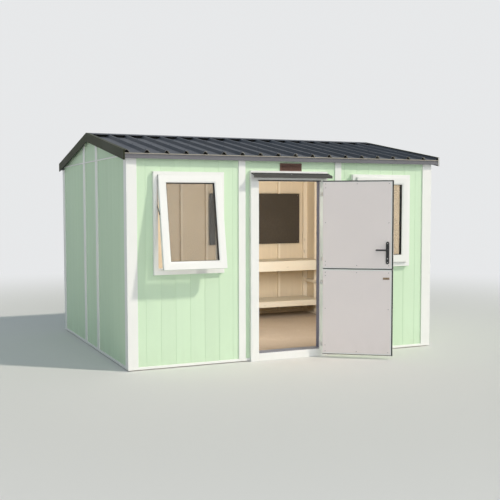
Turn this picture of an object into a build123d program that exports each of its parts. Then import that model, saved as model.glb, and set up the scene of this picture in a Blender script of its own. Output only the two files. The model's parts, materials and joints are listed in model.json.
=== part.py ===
from build123d import *
import os
from math import atan2, cos, degrees, hypot, radians, sin, tan

# Garden workshop: a framed timber building of 3.54 x 2.99 m with a ribbed metal roof.
# Millimetres. +X runs along the front to the right, +Y into the depth, +Z up.
# The origin is on the ground under the middle of the body. The front faces -Y.

# Body
body_width = 3540.0  # outside of the corner boards, along X
body_depth = 2985.0  # outside of the corner boards, along Y
wall_over_door = 125.0  # from the door frame's top to the top of the walls
cladding_bottom = 20.0
cladding_thickness = 15.0
stud_depth = 45.0
stud_width = 30.0
plate_height = 30.0
trim_thickness = 12.0
trim_bottom = 8.0
trim_below_wall_top = 23.0
base_trim_height = 26.0
corner_board_left = 104.0  # front face of the left corner boards
corner_board_right = 118.0
corner_board_return = 96.0  # side face of every corner board
cover_strip_width = 76.0
front_joint = 561.0  # from the middle to a panel joint, front and back
side_joint = 292.5  # the same on the two ends
gable_strip_height = 24.0
gable_strip_rise = 9.0  # its middle over the top of the wall

# Floor
joist_height = 45.0
joist_width = 45.0
joist_count = 11
deck_thickness = 18.0

# Inner studs, from the middle of the wall
back_studs = (183.0, 927.0, 1293.0)
side_studs = (710.0, 1127.0)
corner_stud_inset = 30.0
nogging_height = 40.0
nogging_level = 520.0

# Windows
window_width = 738.0
window_height = 1008.0
window_below_door_frame = 22.0  # from the top of the door frame to the top of a window frame
left_window_offset = 19.5  # from the middle of its panel
right_window_offset = -67.0
window_proud = 42.0  # the frame's face stands out from the cladding
frame_flange = 20.0  # the frame's face laps the cladding all round
frame_side = 42.0  # the frame's face beside the sash
frame_head = 36.0  # over it
frame_foot = 48.0  # under it
sash_member = 76.0
sash_foot = 80.0  # the sash's bottom member
sash_thickness = 50.0
sash_proud = 26.0  # in front of the frame's face
sash_gap = 4.0
stop_lip = 12.0  # what the sash closes against
pane_thickness = 24.0
pane_lap = 6.0
pane_gap = 0.5  # round the pane, in its groove
sash_front_lip = 20.0
window_opening_angle = 10.0
window_rail = 45.0  # timber under and over a window
stay_length = 260.0
stay_width = 14.0
stay_thickness = 3.0
stay_inset = 40.0  # from the top of the sash
stay_on_sash = 380.0  # where the arm meets the sash, from its top edge

# Door frame
door_left = -387.0  # inner edge of the left jamb
door_width = 710.0  # clear opening
door_head = 1857.0
jamb_face = 90.0
head_face = 103.0
threshold_front = 79.0
threshold_back = 89.5
reveal_depth = 107.0  # front of the frame to the inside of the wall

# Door leaves
leaf_lap = 10.5  # the leaf laps each jamb
leaf_thickness = 36.0
leaf_bottom = 38.0
leaf_head_lap = 6.0  # the leaf laps the head rail
leaf_split = 940.0
split_gap = 8.0
leaf_clearance = 5.0
gasket_thickness = 3.0
gasket_width = 11.0
liner_thickness = 3.0
liner_side_margin = 24.0
liner_end_margin = 17.0
liner_hinge_margin = 4.0
door_angle = 145.0  # how far the leaves stand open

# Hinges
knuckle_radius = 6.5
pin_radius = 3.5
pin_clearance = 0.1
knuckle_height = 42.0
knuckle_gap = 1.0
axis_proud = 8.0  # hinge axis in front of the leaf's outer face
hinge_plate_thickness = 2.6
hinge_plate_length = 55.0
hinge_web_offset = 6.0
hinge_web_thickness = 4.0
hinge_foot_length = 34.0
hinge_inset = 118.0  # from a leaf's end to the middle of its hinge

# Door furniture
handle_from_edge = 58.5
handle_level = 1144.0
handle_plate_width = 34.0
handle_plate_top = 1230.0
handle_plate_bottom = 996.0
handle_plate_thickness = 9.0
rose_radius = 13.0
rose_height = 8.0
lever_reach = 46.0  # from the plate to the middle of the grip
lever_length = 113.0
lever_radius = 8.5
spindle_radius = 5.0
spindle_clearance = 0.4
lock_level = 1054.0
lock_radius = 8.5
lock_height = 6.0
bolt_level = 846.0
bolt_from_edge = 38.0
bolt_length = 66.0
bolt_radius = 4.5
bolt_standoff = 9.0
bolt_guide_width = 10.0
bolt_plate_height = 22.0
bolt_plate_thickness = 2.5

# Hood over the door
hood_end_left = 3.0  # short of the door frame's left edge
hood_end_right = 19.0  # beyond its right edge
hood_below_top = 20.0  # from the top of the door frame to the top of the hood
hood_flange = 9.0  # flat against the frame
hood_fall = 17.0  # of the slope
hood_lip = 27.0  # hangs from the front of the slope
hood_reach = 74.0  # from the door frame's face
hood_thickness = 2.5

# Vent
vent_centre_x = -5.0
vent_width = 250.0
vent_height = 81.0
vent_gap = 1.0  # over the door frame
vent_thickness = 11.0
vent_border = 11.0
vent_blades = 5
vent_blade_thickness = 2.5
vent_blade_setback = 1.0  # behind the border's face

# Roof
roof_pitch = 10.2
eave_reach = 43.0  # beyond the corner boards
verge_left = 38.0
verge_right = 77.0
sheet_over_wall = 23.0  # underside of the sheet at the eave, over the top of the walls
sheet_thickness = 2.0
rib_pitch = 200.0
rib_height = 28.0
rib_base = 62.0
rib_crest = 22.0
first_rib = -1772.0
rib_count = 18
ridge_gap = 30.0  # each sheet stops short of the ridge
flashing_thickness = 2.0
eave_flashing_inset = 1.0  # behind the end of the sheet
eave_flashing_drop = 50.0
eave_flashing_lap = 95.0
ridge_flashing_reach = 135.0
barge_drop = 96.0
barge_lap = 62.0
purlin_depth = 60.0
purlin_width = 45.0
purlin_places = (500.0, 1000.0)
ridge_beam_depth = 150.0
rafter_depth = 70.0

# Bench and tool board
bench_left = 190.0
bench_depth = 533.0
bench_top_level = 842.0
bench_board = 22.0
apron_height = 136.0
apron_thickness = 28.0
bench_leg = 70.0
bench_leg_thickness = 45.0
shelf_level = 292.0
shelf_board = 18.0
shelf_rail_height = 76.0
tool_board_left = 220.0
tool_board_right = 1608.0
tool_board_bottom = 1058.0
tool_board_top = 1770.0
tool_board_thickness = 12.0
fit_gap = 1.0  # between panels side by side
joint_gap = 0.4  # between timbers that are nailed end to side

# Planes and faces worked out from the sizes above
half_width = body_width / 2
half_depth = body_depth / 2
clad_x = half_width - trim_thickness
clad_y = half_depth - trim_thickness
inner_clad_x = clad_x - cladding_thickness
inner_clad_y = clad_y - cladding_thickness
stud_x = inner_clad_x - stud_depth
stud_y = inner_clad_y - stud_depth
deck_top = joist_height + deck_thickness
sole_top = deck_top + plate_height
frame_front = -clad_y - window_proud
door_right = door_left + door_width
door_outer_left = door_left - jamb_face
door_outer_right = door_right + jamb_face
door_rough_left = door_outer_left + frame_flange
door_rough_right = door_outer_right - frame_flange
door_outer_top = door_head + head_face
door_rough_top = door_outer_top - frame_flange
wall_top = door_outer_top + wall_over_door
stud_top = wall_top - plate_height
trim_top = wall_top - trim_below_wall_top
pan_at_eave = wall_top + sheet_over_wall
vent_bottom = door_outer_top + vent_gap
window_head = door_outer_top - window_below_door_frame
window_bottom = window_head - window_height
panel_middle = (clad_x + front_joint) / 2
left_window_x = -panel_middle + left_window_offset
right_window_x = panel_middle + right_window_offset
sash_width = window_width - 2 * frame_side
sash_height = window_height - frame_head - frame_foot
sash_middle = window_bottom + frame_foot + sash_height / 2
sash_back = frame_front - sash_proud + sash_thickness
leaf_top = door_head + leaf_head_lap
leaf_hinge_x = door_right + leaf_lap
leaf_width = door_width + 2 * leaf_lap
leaf_free_x = leaf_hinge_x - leaf_width
leaf_inner_y = frame_front - leaf_clearance - gasket_thickness
leaf_outer_y = leaf_inner_y - leaf_thickness
hinge_y = leaf_outer_y - axis_proud
hinge_axis = Axis((leaf_hinge_x, hinge_y, 0), (0, 0, 1))
eave_y = half_depth + eave_reach
roof_slope = tan(radians(roof_pitch))


def pan_height(y):
    # height of the sheet's underside above the ground, at a distance y from the ridge
    return pan_at_eave + (eave_y - abs(y)) * roof_slope


def block(x, y, z):
    # a squared piece between a low and a high value on each axis
    size = (x[1] - x[0], y[1] - y[0], z[1] - z[0])
    corner = Pos(x[0], y[0], z[0])
    return corner * Box(*size, align=(Align.MIN, Align.MIN, Align.MIN))


def front_extrusion(sketch, y_back, depth):
    # a sketch drawn in X and Z, made solid from y_back towards the front
    plane = Plane(origin=(0, y_back, 0), x_dir=(1, 0, 0), z_dir=(0, -1, 0))
    return extrude(plane * sketch, amount=depth, dir=(0, -1, 0))


def side_extrusion(outline, x_low, x_high):
    # an outline drawn in Y and Z, made solid along X
    plane = Plane(origin=(x_low, 0, 0), x_dir=(0, 1, 0), z_dir=(1, 0, 0))
    return extrude(plane * Polygon(*outline, align=None), amount=x_high - x_low, dir=(1, 0, 0))


def rectangle(x, z):
    middle = ((x[0] + x[1]) / 2, (z[0] + z[1]) / 2)
    return Pos(*middle) * Rectangle(x[1] - x[0], z[1] - z[0])


def opened(piece):
    # a door piece drawn shut, swung to where it stands
    return piece.rotate(hinge_axis, door_angle)


def group(pieces):
    return Compound(children=list(pieces))


def write(name, piece):
    export_step(piece, os.path.join("parts", name + ".step"))


# Floor
def floor_frame():
    rim_inside = inner_clad_y - joist_width
    pieces = []
    for side in (-1, 1):
        y = sorted((side * inner_clad_y, side * rim_inside))
        pieces.append(block((-inner_clad_x, inner_clad_x), y, (0, joist_height)))
    low = -inner_clad_x + joist_width / 2
    step = -2 * low / (joist_count - 1)
    y_end = rim_inside - joint_gap
    for index in range(joist_count):
        x = low + index * step
        pieces.append(block((x - joist_width / 2, x + joist_width / 2), (-y_end, y_end), (0, joist_height)))
    return group(pieces)


def floor_deck():
    return block((-inner_clad_x, inner_clad_x), (-inner_clad_y, inner_clad_y), (joist_height, deck_top))


# Walls
def window_rough(centre_x):
    half = window_width / 2 - frame_flange
    return rectangle((centre_x - half, centre_x + half), (window_bottom + frame_flange, window_head - frame_flange))


def front_wall(centre_x, x_low, x_high):
    sheet = rectangle((x_low, x_high), (cladding_bottom, wall_top)) - window_rough(centre_x)
    return front_extrusion(sheet, -inner_clad_y, cladding_thickness)


def door_bay():
    # the cladding beside and over the doorway
    left = rectangle((-front_joint + fit_gap / 2, door_rough_left), (cladding_bottom, wall_top))
    right = rectangle((door_rough_right, front_joint - fit_gap / 2), (cladding_bottom, wall_top))
    over = rectangle((door_rough_left + joint_gap, door_rough_right - joint_gap), (door_rough_top, wall_top))
    pieces = [front_extrusion(sheet, -inner_clad_y, cladding_thickness) for sheet in (left, over, right)]
    return group(pieces)


def back_wall():
    edges = (-clad_x, -front_joint, front_joint, clad_x)
    pieces = []
    for low, high in zip(edges, edges[1:]):
        x = (low + fit_gap / 2, high - fit_gap / 2)
        pieces.append(block(x, (inner_clad_y, clad_y), (cladding_bottom, wall_top)))
    return group(pieces)


def end_wall(side):
    edges = (-inner_clad_y, -side_joint, side_joint, inner_clad_y)
    x = sorted((side * inner_clad_x, side * clad_x))
    pieces = []
    for low, high in zip(edges, edges[1:]):
        y = (low + fit_gap / 2, high - fit_gap / 2)
        pieces.append(block(x, y, (cladding_bottom, wall_top)))
    return group(pieces)


def gable(side):
    x = sorted((side * inner_clad_x, side * clad_x))
    drop = flashing_thickness
    outline = [
        (-inner_clad_y, wall_top),
        (inner_clad_y, wall_top),
        (inner_clad_y, pan_height(inner_clad_y) - drop),
        (0, pan_height(0) - drop),
        (-inner_clad_y, pan_height(inner_clad_y) - drop),
    ]
    return side_extrusion(outline, *x)


# Frame inside the walls
def stud(x, y):
    return block(x, y, (sole_top, stud_top))


def back_wall_studs():
    pieces = []
    y = (stud_y, inner_clad_y)
    for side in (-1, 1):
        for place in back_studs:
            centre = side * place
            pieces.append(stud((centre - stud_width / 2, centre + stud_width / 2), y))
        centre = side * front_joint
        pieces.append(stud((centre - stud_width, centre + stud_width), y))
        corner = side * (inner_clad_x - corner_stud_inset)
        pieces.append(stud((corner - stud_width, corner + stud_width), y))
    return pieces


def front_wall_studs():
    y = (-inner_clad_y, -stud_y)
    window_half = window_width / 2 - frame_flange + stud_width / 2
    centres = [
        left_window_x - window_half,
        left_window_x + window_half,
        right_window_x - window_half,
        right_window_x + window_half,
        door_rough_left - stud_width / 2,
        door_rough_right + stud_width / 2,
        -inner_clad_x + stud_width / 2,
        inner_clad_x - stud_width / 2,
    ]
    pieces = [stud((centre - stud_width / 2, centre + stud_width / 2), y) for centre in centres]
    for centre in (-front_joint, front_joint):
        pieces.append(stud((centre - stud_width, centre + stud_width), y))
    rail_half = window_half - stud_width / 2 - joint_gap
    low = window_bottom + frame_flange
    high = window_head - frame_flange
    for centre in (left_window_x, right_window_x):
        for z in ((low - window_rail, low), (high, high + window_rail)):
            pieces.append(block((centre - rail_half, centre + rail_half), y, z))
    return pieces


def end_wall_studs(side):
    x = sorted((side * stud_x, side * inner_clad_x))
    pieces = []
    for end in (-1, 1):
        for place in side_studs:
            centre = end * place
            pieces.append(stud(x, (centre - stud_width / 2, centre + stud_width / 2)))
        centre = end * side_joint
        pieces.append(stud(x, (centre - stud_width, centre + stud_width)))
    return pieces


def noggings(side):
    pieces = []
    z = (nogging_level - nogging_height / 2, nogging_level + nogging_height / 2)
    x = sorted((side * stud_x, side * inner_clad_x))
    for end in (-1, 1):
        edges = [side_joint + stud_width]
        for place in side_studs:
            edges += [place - stud_width / 2, place + stud_width / 2]
        edges.append(stud_y)
        for low, high in zip(edges[::2], edges[1::2]):
            y = sorted((end * (low + joint_gap), end * (high - joint_gap)))
            pieces.append(block(x, y, z))
    return pieces


def wall_studs():
    pieces = back_wall_studs() + front_wall_studs()
    for side in (-1, 1):
        pieces += end_wall_studs(side) + noggings(side)
    return group(pieces)


def wall_plates():
    sole = (deck_top, sole_top)
    top = (stud_top, wall_top)
    pieces = []
    for z in (sole, top):
        pieces.append(block((-inner_clad_x, inner_clad_x), (stud_y, inner_clad_y), z))
        for side in (-1, 1):
            x = sorted((side * stud_x, side * inner_clad_x))
            pieces.append(block(x, (-stud_y + fit_gap, stud_y - fit_gap), z))
    front = (-inner_clad_y, -stud_y)
    pieces.append(block((-inner_clad_x, inner_clad_x), front, top))
    pieces.append(block((-inner_clad_x, door_rough_left), front, sole))
    pieces.append(block((door_rough_right, inner_clad_x), front, sole))
    return group(pieces)


# Trim
def corner_boards():
    pieces = []
    for x_side, face in ((-1, corner_board_left), (1, corner_board_right)):
        for y_side in (-1, 1):
            outer = (x_side * half_width, y_side * half_depth)
            along_x = rectangle(sorted((outer[0], outer[0] - x_side * face)),
                                sorted((outer[1], outer[1] - y_side * trim_thickness)))
            along_y = rectangle(sorted((outer[0], outer[0] - x_side * trim_thickness)),
                                sorted((outer[1], outer[1] - y_side * corner_board_return)))
            section = Pos(0, 0, trim_bottom) * (along_x + along_y)
            pieces.append(extrude(section, amount=trim_top - trim_bottom, dir=(0, 0, 1)))
    return group(pieces)


def end_wall_strips(side):
    # upright strips from the base trim to the roof slope, and the level ones between them
    z_low = trim_bottom + base_trim_height
    half = cover_strip_width / 2
    x = sorted((side * clad_x, side * half_width))
    pieces = []
    for joint in (-side_joint, side_joint):
        low = joint - half
        high = joint + half
        outline = [
            (low, z_low),
            (high, z_low),
            (high, pan_height(high) - flashing_thickness),
            (low, pan_height(low) - flashing_thickness),
        ]
        pieces.append(side_extrusion(outline, *x))
    middle = wall_top + gable_strip_rise
    level = (middle - gable_strip_height / 2, middle + gable_strip_height / 2)
    outer = half_depth - corner_board_return
    near = side_joint - half - fit_gap
    far = side_joint + half + fit_gap
    for y in ((-outer, -far), (-near, near), (far, outer)):
        pieces.append(block(x, y, level))
    return pieces


def cover_strips():
    half = cover_strip_width / 2
    pieces = []
    for side in (-1, 1):
        y = sorted((side * clad_y, side * half_depth))
        for joint in (-front_joint, front_joint):
            pieces.append(block((joint - half, joint + half), y, (trim_bottom + base_trim_height, trim_top)))
        pieces += end_wall_strips(side)
    return group(pieces)


def base_trims():
    z = (trim_bottom, trim_bottom + base_trim_height)
    left = -half_width + corner_board_left
    right = half_width - corner_board_right
    reach = half_depth - corner_board_return
    front = (-half_depth, -clad_y)
    pieces = [
        block((left, door_outer_left), front, z),
        block((door_outer_right, right), front, z),
        block((left, right), (clad_y, half_depth), z),
    ]
    for side in (-1, 1):
        x = sorted((side * clad_x, side * half_width))
        pieces.append(block(x, (-reach, reach), z))
    return group(pieces)


# Windows
def window_frame(centre_x):
    about_frame = Pos(centre_x, (window_bottom + window_head) / 2)
    about_sash = Pos(centre_x, sash_middle)
    face = about_frame * Rectangle(window_width, window_height)
    through = about_frame * Rectangle(window_width - 2 * frame_flange, window_height - 2 * frame_flange)
    rebate = about_sash * Rectangle(sash_width + 2 * sash_gap, sash_height + 2 * sash_gap)
    stop = about_sash * Rectangle(sash_width - 2 * stop_lip, sash_height - 2 * stop_lip)
    flange = front_extrusion(face - stop, -clad_y, window_proud)
    spigot = front_extrusion(through - stop, -stud_y, clad_y - stud_y)
    pocket = front_extrusion(rebate, sash_back, sash_thickness)
    return flange + spigot - pocket


def glass_outline(margin):
    # the opening of a sash, drawn about the sash's middle, with a margin all round
    width = sash_width - 2 * sash_member + 2 * margin
    height = sash_height - sash_member - sash_foot + 2 * margin
    return Pos(0, (sash_foot - sash_member) / 2) * Rectangle(width, height)


def window_sash():
    # drawn shut about its own middle, with its face at y = 0
    ring = front_extrusion(Rectangle(sash_width, sash_height) - glass_outline(0), sash_thickness, sash_thickness)
    groove = front_extrusion(glass_outline(pane_lap), sash_front_lip + pane_thickness, pane_thickness)
    return ring - groove


def window_pane():
    return front_extrusion(glass_outline(pane_lap - pane_gap), sash_front_lip + pane_thickness, pane_thickness)


def hung(piece, centre_x, angle):
    # put in a frame, turned out by an angle about the top edge of the sash's face
    half = sash_height / 2
    turned = Pos(0, 0, half) * Rot(-angle, 0, 0) * Pos(0, 0, -half) * piece
    return Pos(centre_x, frame_front - sash_proud, sash_middle) * turned


def window_stays(centre_x, angle):
    # on each side a track on the frame, and an arm from it to the side of the sash
    top = sash_middle + sash_height / 2
    turn = radians(angle)
    foot = (sash_back - stay_width / 2, top - stay_inset - stay_length + stay_width)
    head = (
        frame_front - sash_proud + sash_thickness / 2 * cos(turn) - stay_on_sash * sin(turn),
        top - sash_thickness / 2 * sin(turn) - stay_on_sash * cos(turn),
    )
    run = (head[0] - foot[0], head[1] - foot[1])
    arm = Pos(foot[0] + run[0] / 2, foot[1] + run[1] / 2) * SlotCenterToCenter(
        hypot(*run), stay_width, rotation=degrees(atan2(run[1], run[0])))
    pieces = []
    for side in (-1, 1):
        sash_side = centre_x + side * sash_width / 2
        frame_edge = sash_side + side * sash_gap
        track = block(sorted((frame_edge, frame_edge - side * stay_thickness)), (sash_back - stay_width, sash_back),
                      (top - stay_inset - stay_length, top - stay_inset))
        plane = Plane(origin=(min(sash_side, frame_edge), 0, 0), x_dir=(0, 1, 0), z_dir=(1, 0, 0))
        pieces.append(track + extrude(plane * arm, amount=sash_gap, dir=(1, 0, 0)))
    return group(pieces)


# Door frame
def door_jambs():
    left = [
        (door_outer_left, frame_front),
        (door_left, frame_front),
        (door_left, frame_front + reveal_depth),
        (door_rough_left, frame_front + reveal_depth),
        (door_rough_left, -clad_y),
        (door_outer_left, -clad_y),
    ]
    middle = (door_left + door_right) / 2
    right = [(2 * middle - x, y) for x, y in left]
    pieces = []
    for outline in (left, right):
        jamb = extrude(Polygon(*outline, align=None), amount=door_head, dir=(0, 0, 1))
        floor_space = block((door_outer_left, door_outer_right), (-inner_clad_y, 0), (0, deck_top))
        pieces.append(jamb - floor_space)
    return group(pieces)


def door_head_rail():
    face = block((door_outer_left, door_outer_right), (frame_front, -clad_y), (door_head, door_outer_top))
    reveal = block((door_rough_left, door_rough_right), (-clad_y, frame_front + reveal_depth),
                   (door_head, door_rough_top))
    return face + reveal


def door_threshold():
    section = [
        (frame_front, 0),
        (frame_front, threshold_front),
        (frame_front + reveal_depth, threshold_back),
        (frame_front + reveal_depth, deck_top),
        (-inner_clad_y, deck_top),
        (-inner_clad_y, 0),
    ]
    return side_extrusion(section, door_left, door_right)


def door_hood():
    # a folded sheet: a flange on the frame's face, a slope and a lip
    flange_top = door_outer_top - hood_below_top
    slope_top = flange_top - hood_flange
    lip_top = slope_top - hood_fall
    tip = frame_front - hood_reach
    fall = hood_fall / (hood_reach - hood_thickness)
    under = hood_thickness * hypot(1, fall)
    outline = [
        (frame_front, flange_top),
        (frame_front - hood_thickness, flange_top),
        (frame_front - hood_thickness, slope_top),
        (tip, lip_top),
        (tip, lip_top - hood_lip),
        (tip + hood_thickness, lip_top - hood_lip),
        (tip + hood_thickness, lip_top + hood_thickness * fall - under),
        (frame_front, lip_top + hood_reach * fall - under),
    ]
    return side_extrusion(outline, door_outer_left + hood_end_left, door_outer_right + hood_end_right)


# Door leaves, drawn shut and then swung open
def spindle_hole():
    x = leaf_free_x + handle_from_edge
    hole = Pos(x, handle_level) * Circle(spindle_radius + spindle_clearance)
    return front_extrusion(hole, 0, 2 * half_depth)


def leaf_body(z):
    body = block((leaf_free_x, leaf_hinge_x), (leaf_outer_y, leaf_inner_y), z)
    return body - spindle_hole() if z[0] < handle_level < z[1] else body


def leaf_gasket(z):
    outer = rectangle((leaf_free_x, leaf_hinge_x), z)
    inner = rectangle((leaf_free_x + gasket_width, leaf_hinge_x + gasket_width), (z[0] + gasket_width, z[1] - gasket_width))
    return front_extrusion(outer - inner, leaf_inner_y + gasket_thickness, gasket_thickness)


def leaf_liner(z):
    x = (leaf_free_x + liner_side_margin, leaf_hinge_x - liner_hinge_margin)
    z = (z[0] + liner_end_margin, z[1] - liner_end_margin)
    liner = block(x, (leaf_inner_y, leaf_inner_y + liner_thickness), z)
    return liner - spindle_hole() if z[0] < handle_level < z[1] else liner


def hinge_levels(z):
    return (z[0] + hinge_inset, z[1] - hinge_inset)


def frame_hinges(levels):
    # foot on the frame's face, web, lower knuckle and the pin that it holds
    pieces = []
    for level in levels:
        z = (level - knuckle_height, level)
        web_x = leaf_hinge_x + hinge_web_offset
        foot = block((web_x, web_x + hinge_foot_length),
                     (frame_front - hinge_plate_thickness, frame_front), z)
        web = block((web_x, web_x + hinge_web_thickness), (hinge_y, frame_front), z)
        bridge = block((leaf_hinge_x, web_x + hinge_web_thickness),
                       (hinge_y - knuckle_radius, hinge_y - knuckle_radius + hinge_web_thickness), z)
        post = block((web_x, web_x + hinge_web_thickness), (hinge_y - knuckle_radius, hinge_y), z)
        knuckle = Pos(leaf_hinge_x, hinge_y, level - knuckle_height / 2) * Cylinder(knuckle_radius, knuckle_height)
        pin = Pos(leaf_hinge_x, hinge_y, level) * Cylinder(pin_radius, 2 * knuckle_height)
        pieces.append(foot + web + bridge + post + knuckle + pin)
    return group(pieces)


def leaf_hinges(levels):
    # plate on the leaf's outer face with the upper knuckle
    pieces = []
    for level in levels:
        low = level + knuckle_gap
        z = (low, low + knuckle_height)
        plate = block((leaf_hinge_x - hinge_plate_length, leaf_hinge_x),
                      (leaf_outer_y - hinge_plate_thickness, leaf_outer_y), z)
        knuckle = Pos(leaf_hinge_x, hinge_y, low + knuckle_height / 2) * Cylinder(knuckle_radius, knuckle_height)
        bore = Pos(leaf_hinge_x, hinge_y, low + knuckle_height / 2) * Cylinder(
            pin_radius + pin_clearance, 2 * knuckle_height)
        pieces.append(plate + knuckle - bore)
    return group(pieces)


def handle_plates():
    x = leaf_free_x + handle_from_edge
    height = handle_plate_top - handle_plate_bottom
    level = (handle_plate_top + handle_plate_bottom) / 2
    outline = Pos(x, level) * SlotOverall(height, handle_plate_width, rotation=90)
    hole = Pos(x, handle_level) * Circle(spindle_radius + spindle_clearance)
    rose = Pos(x, handle_level) * Circle(rose_radius) - hole
    lock = Pos(x, lock_level) * Circle(lock_radius)
    pieces = []
    for y_face, outward in ((leaf_outer_y, 1), (leaf_inner_y + liner_thickness, -1)):
        y_plate = y_face if outward == 1 else y_face + handle_plate_thickness
        plate = front_extrusion(outline - hole, y_plate, handle_plate_thickness)
        y_rose = y_face - handle_plate_thickness if outward == 1 else y_plate + rose_height
        y_lock = y_face - handle_plate_thickness if outward == 1 else y_plate + lock_height
        plate += front_extrusion(rose, y_rose, rose_height)
        plate += front_extrusion(lock, y_lock, lock_height)
        pieces.append(plate)
    return group(pieces)


def lever():
    # both grips on one spindle, pointing to the hinges
    x = leaf_free_x + handle_from_edge
    outer_grip = leaf_outer_y - handle_plate_thickness - lever_reach
    inner_grip = leaf_inner_y + liner_thickness + handle_plate_thickness + lever_reach
    spindle = Pos(x, (outer_grip + inner_grip) / 2, handle_level) * Rot(90, 0, 0) * Cylinder(
        spindle_radius, inner_grip - outer_grip)
    piece = spindle
    for y in (outer_grip, inner_grip):
        grip = Pos(x + lever_length / 2, y, handle_level) * Rot(0, 90, 0) * Cylinder(lever_radius, lever_length)
        end = Pos(x, y, handle_level) * Sphere(lever_radius)
        piece += grip + end + Pos(lever_length, 0, 0) * end
    return piece


def door_bolt():
    x_free = leaf_free_x + bolt_from_edge
    y_face = leaf_inner_y + liner_thickness
    x = (x_free, x_free + bolt_length)
    plate = block(x, (y_face, y_face + bolt_plate_thickness),
                  (bolt_level - bolt_plate_height / 2, bolt_level + bolt_plate_height / 2))
    rod = Pos((x[0] + x[1]) / 2, y_face + bolt_standoff, bolt_level) * Rot(0, 90, 0) * Cylinder(
        bolt_radius, bolt_length)
    piece = plate + rod
    for share in (0.2, 0.8):
        middle = x[0] + share * bolt_length
        piece += block((middle - bolt_guide_width / 2, middle + bolt_guide_width / 2), (y_face, y_face + bolt_standoff),
                       (bolt_level - bolt_radius, bolt_level + bolt_radius))
    return piece


# Roof
def rib_profile():
    # the sheet's cross-section, with X along the eave and Y up
    half_base = rib_base / 2
    half_crest = rib_crest / 2
    left = -half_width - verge_left + flashing_thickness
    right = half_width + verge_right - flashing_thickness
    top = [(left, 0)]
    for index in range(rib_count + 1):
        centre = first_rib + index * rib_pitch
        for offset, height in ((-half_base, 0), (-half_crest, rib_height), (half_crest, rib_height), (half_base, 0)):
            if left < centre + offset < right:
                top.append((centre + offset, height))
    top.append((right, top[-1][1]))
    return top


def roof_sheet(side):
    lower = rib_profile()
    upper = [(x, y + sheet_thickness) for x, y in lower]
    outline = lower + upper[::-1]
    length = (eave_y - ridge_gap) / cos(radians(roof_pitch))
    plane = Plane(origin=(0, -eave_y, pan_at_eave), x_dir=(1, 0, 0), z_dir=(0, -1, 0))
    flat = extrude(plane * Polygon(*outline, align=None), amount=length, dir=(0, 1, 0))
    sheet = flat.rotate(Axis((0, -eave_y, pan_at_eave), (1, 0, 0)), roof_pitch)
    return sheet if side < 0 else mirror(sheet, about=Plane.XZ)


def eave_flashing(side):
    face = eave_y - eave_flashing_inset
    inner = face - flashing_thickness
    back = eave_y - eave_flashing_lap
    section = [
        (face, pan_height(face)),
        (face, pan_at_eave - eave_flashing_drop),
        (inner, pan_at_eave - eave_flashing_drop),
        (inner, pan_height(inner) - flashing_thickness),
        (back, pan_height(back) - flashing_thickness),
        (back, pan_height(back)),
    ]
    section = [(side * y, z) for y, z in section]
    return side_extrusion(section, -half_width - verge_left + flashing_thickness,
                          half_width + verge_right - flashing_thickness)


def crest_height(y):
    return pan_height(y) + (rib_height + sheet_thickness) / cos(radians(roof_pitch))


def ridge_flashing():
    reach = ridge_flashing_reach
    lift = flashing_thickness / cos(radians(roof_pitch))
    section = [
        (-reach, crest_height(reach)),
        (0, crest_height(0)),
        (reach, crest_height(reach)),
        (reach, crest_height(reach) + lift),
        (0, crest_height(0) + lift),
        (-reach, crest_height(reach) + lift),
    ]
    return side_extrusion(section, -half_width - verge_left + barge_lap, half_width + verge_right - barge_lap)


def barge_flashing(side):
    verge = verge_left if side < 0 else verge_right
    outer = side * (half_width + verge)
    lift = flashing_thickness / cos(radians(roof_pitch))
    upright = [
        (-eave_y, crest_height(eave_y) - barge_drop),
        (0, crest_height(0) - barge_drop),
        (eave_y, crest_height(eave_y) - barge_drop),
        (eave_y, crest_height(eave_y) + lift),
        (0, crest_height(0) + lift),
        (-eave_y, crest_height(eave_y) + lift),
    ]
    cap = [(y, crest_height(y)) for y in (-eave_y, 0, eave_y)]
    cap += [(y, crest_height(y) + lift) for y in (eave_y, 0, -eave_y)]
    face = side_extrusion(upright, *sorted((outer, outer - side * flashing_thickness)))
    return face + side_extrusion(cap, *sorted((outer, outer - side * barge_lap)))


def sloped_piece(y_low, y_high, z_drop, depth, x_low, x_high):
    # a timber whose top follows the slope, z_drop under the sheet
    section = [
        (y_low, pan_height(y_low) - z_drop - depth),
        (y_high, pan_height(y_high) - z_drop - depth),
        (y_high, pan_height(y_high) - z_drop),
        (y_low, pan_height(y_low) - z_drop),
    ]
    return side_extrusion(section, x_low, x_high)


def purlins():
    pieces = []
    for side in (-1, 1):
        for place in purlin_places:
            y = sorted((side * (place - purlin_width / 2), side * (place + purlin_width / 2)))
            pieces.append(sloped_piece(y[0], y[1], 0, purlin_depth, -inner_clad_x, inner_clad_x))
        lap = flashing_thickness
        section = [
            (side * stud_y, wall_top),
            (side * clad_y, wall_top),
            (side * clad_y, pan_height(clad_y) - lap),
            (side * stud_y, pan_height(stud_y) - lap),
        ]
        pieces.append(side_extrusion(section, -inner_clad_x, inner_clad_x))
    return group(pieces)


def ridge_beam():
    half = purlin_width / 2
    section = [
        (-half, pan_height(0) - ridge_beam_depth),
        (half, pan_height(0) - ridge_beam_depth),
        (half, pan_height(half)),
        (0, pan_height(0)),
        (-half, pan_height(half)),
    ]
    return side_extrusion(section, -inner_clad_x, inner_clad_x)


def rafters():
    pieces = []
    half = purlin_width / 2
    end = stud_x - half
    for centre in (-end, -front_joint, front_joint, end):
        for side in (-1, 1):
            y = sorted((side * half, side * stud_y))
            pieces.append(sloped_piece(y[0], y[1], purlin_depth, rafter_depth, centre - half, centre + half))
    return group(pieces)


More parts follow.
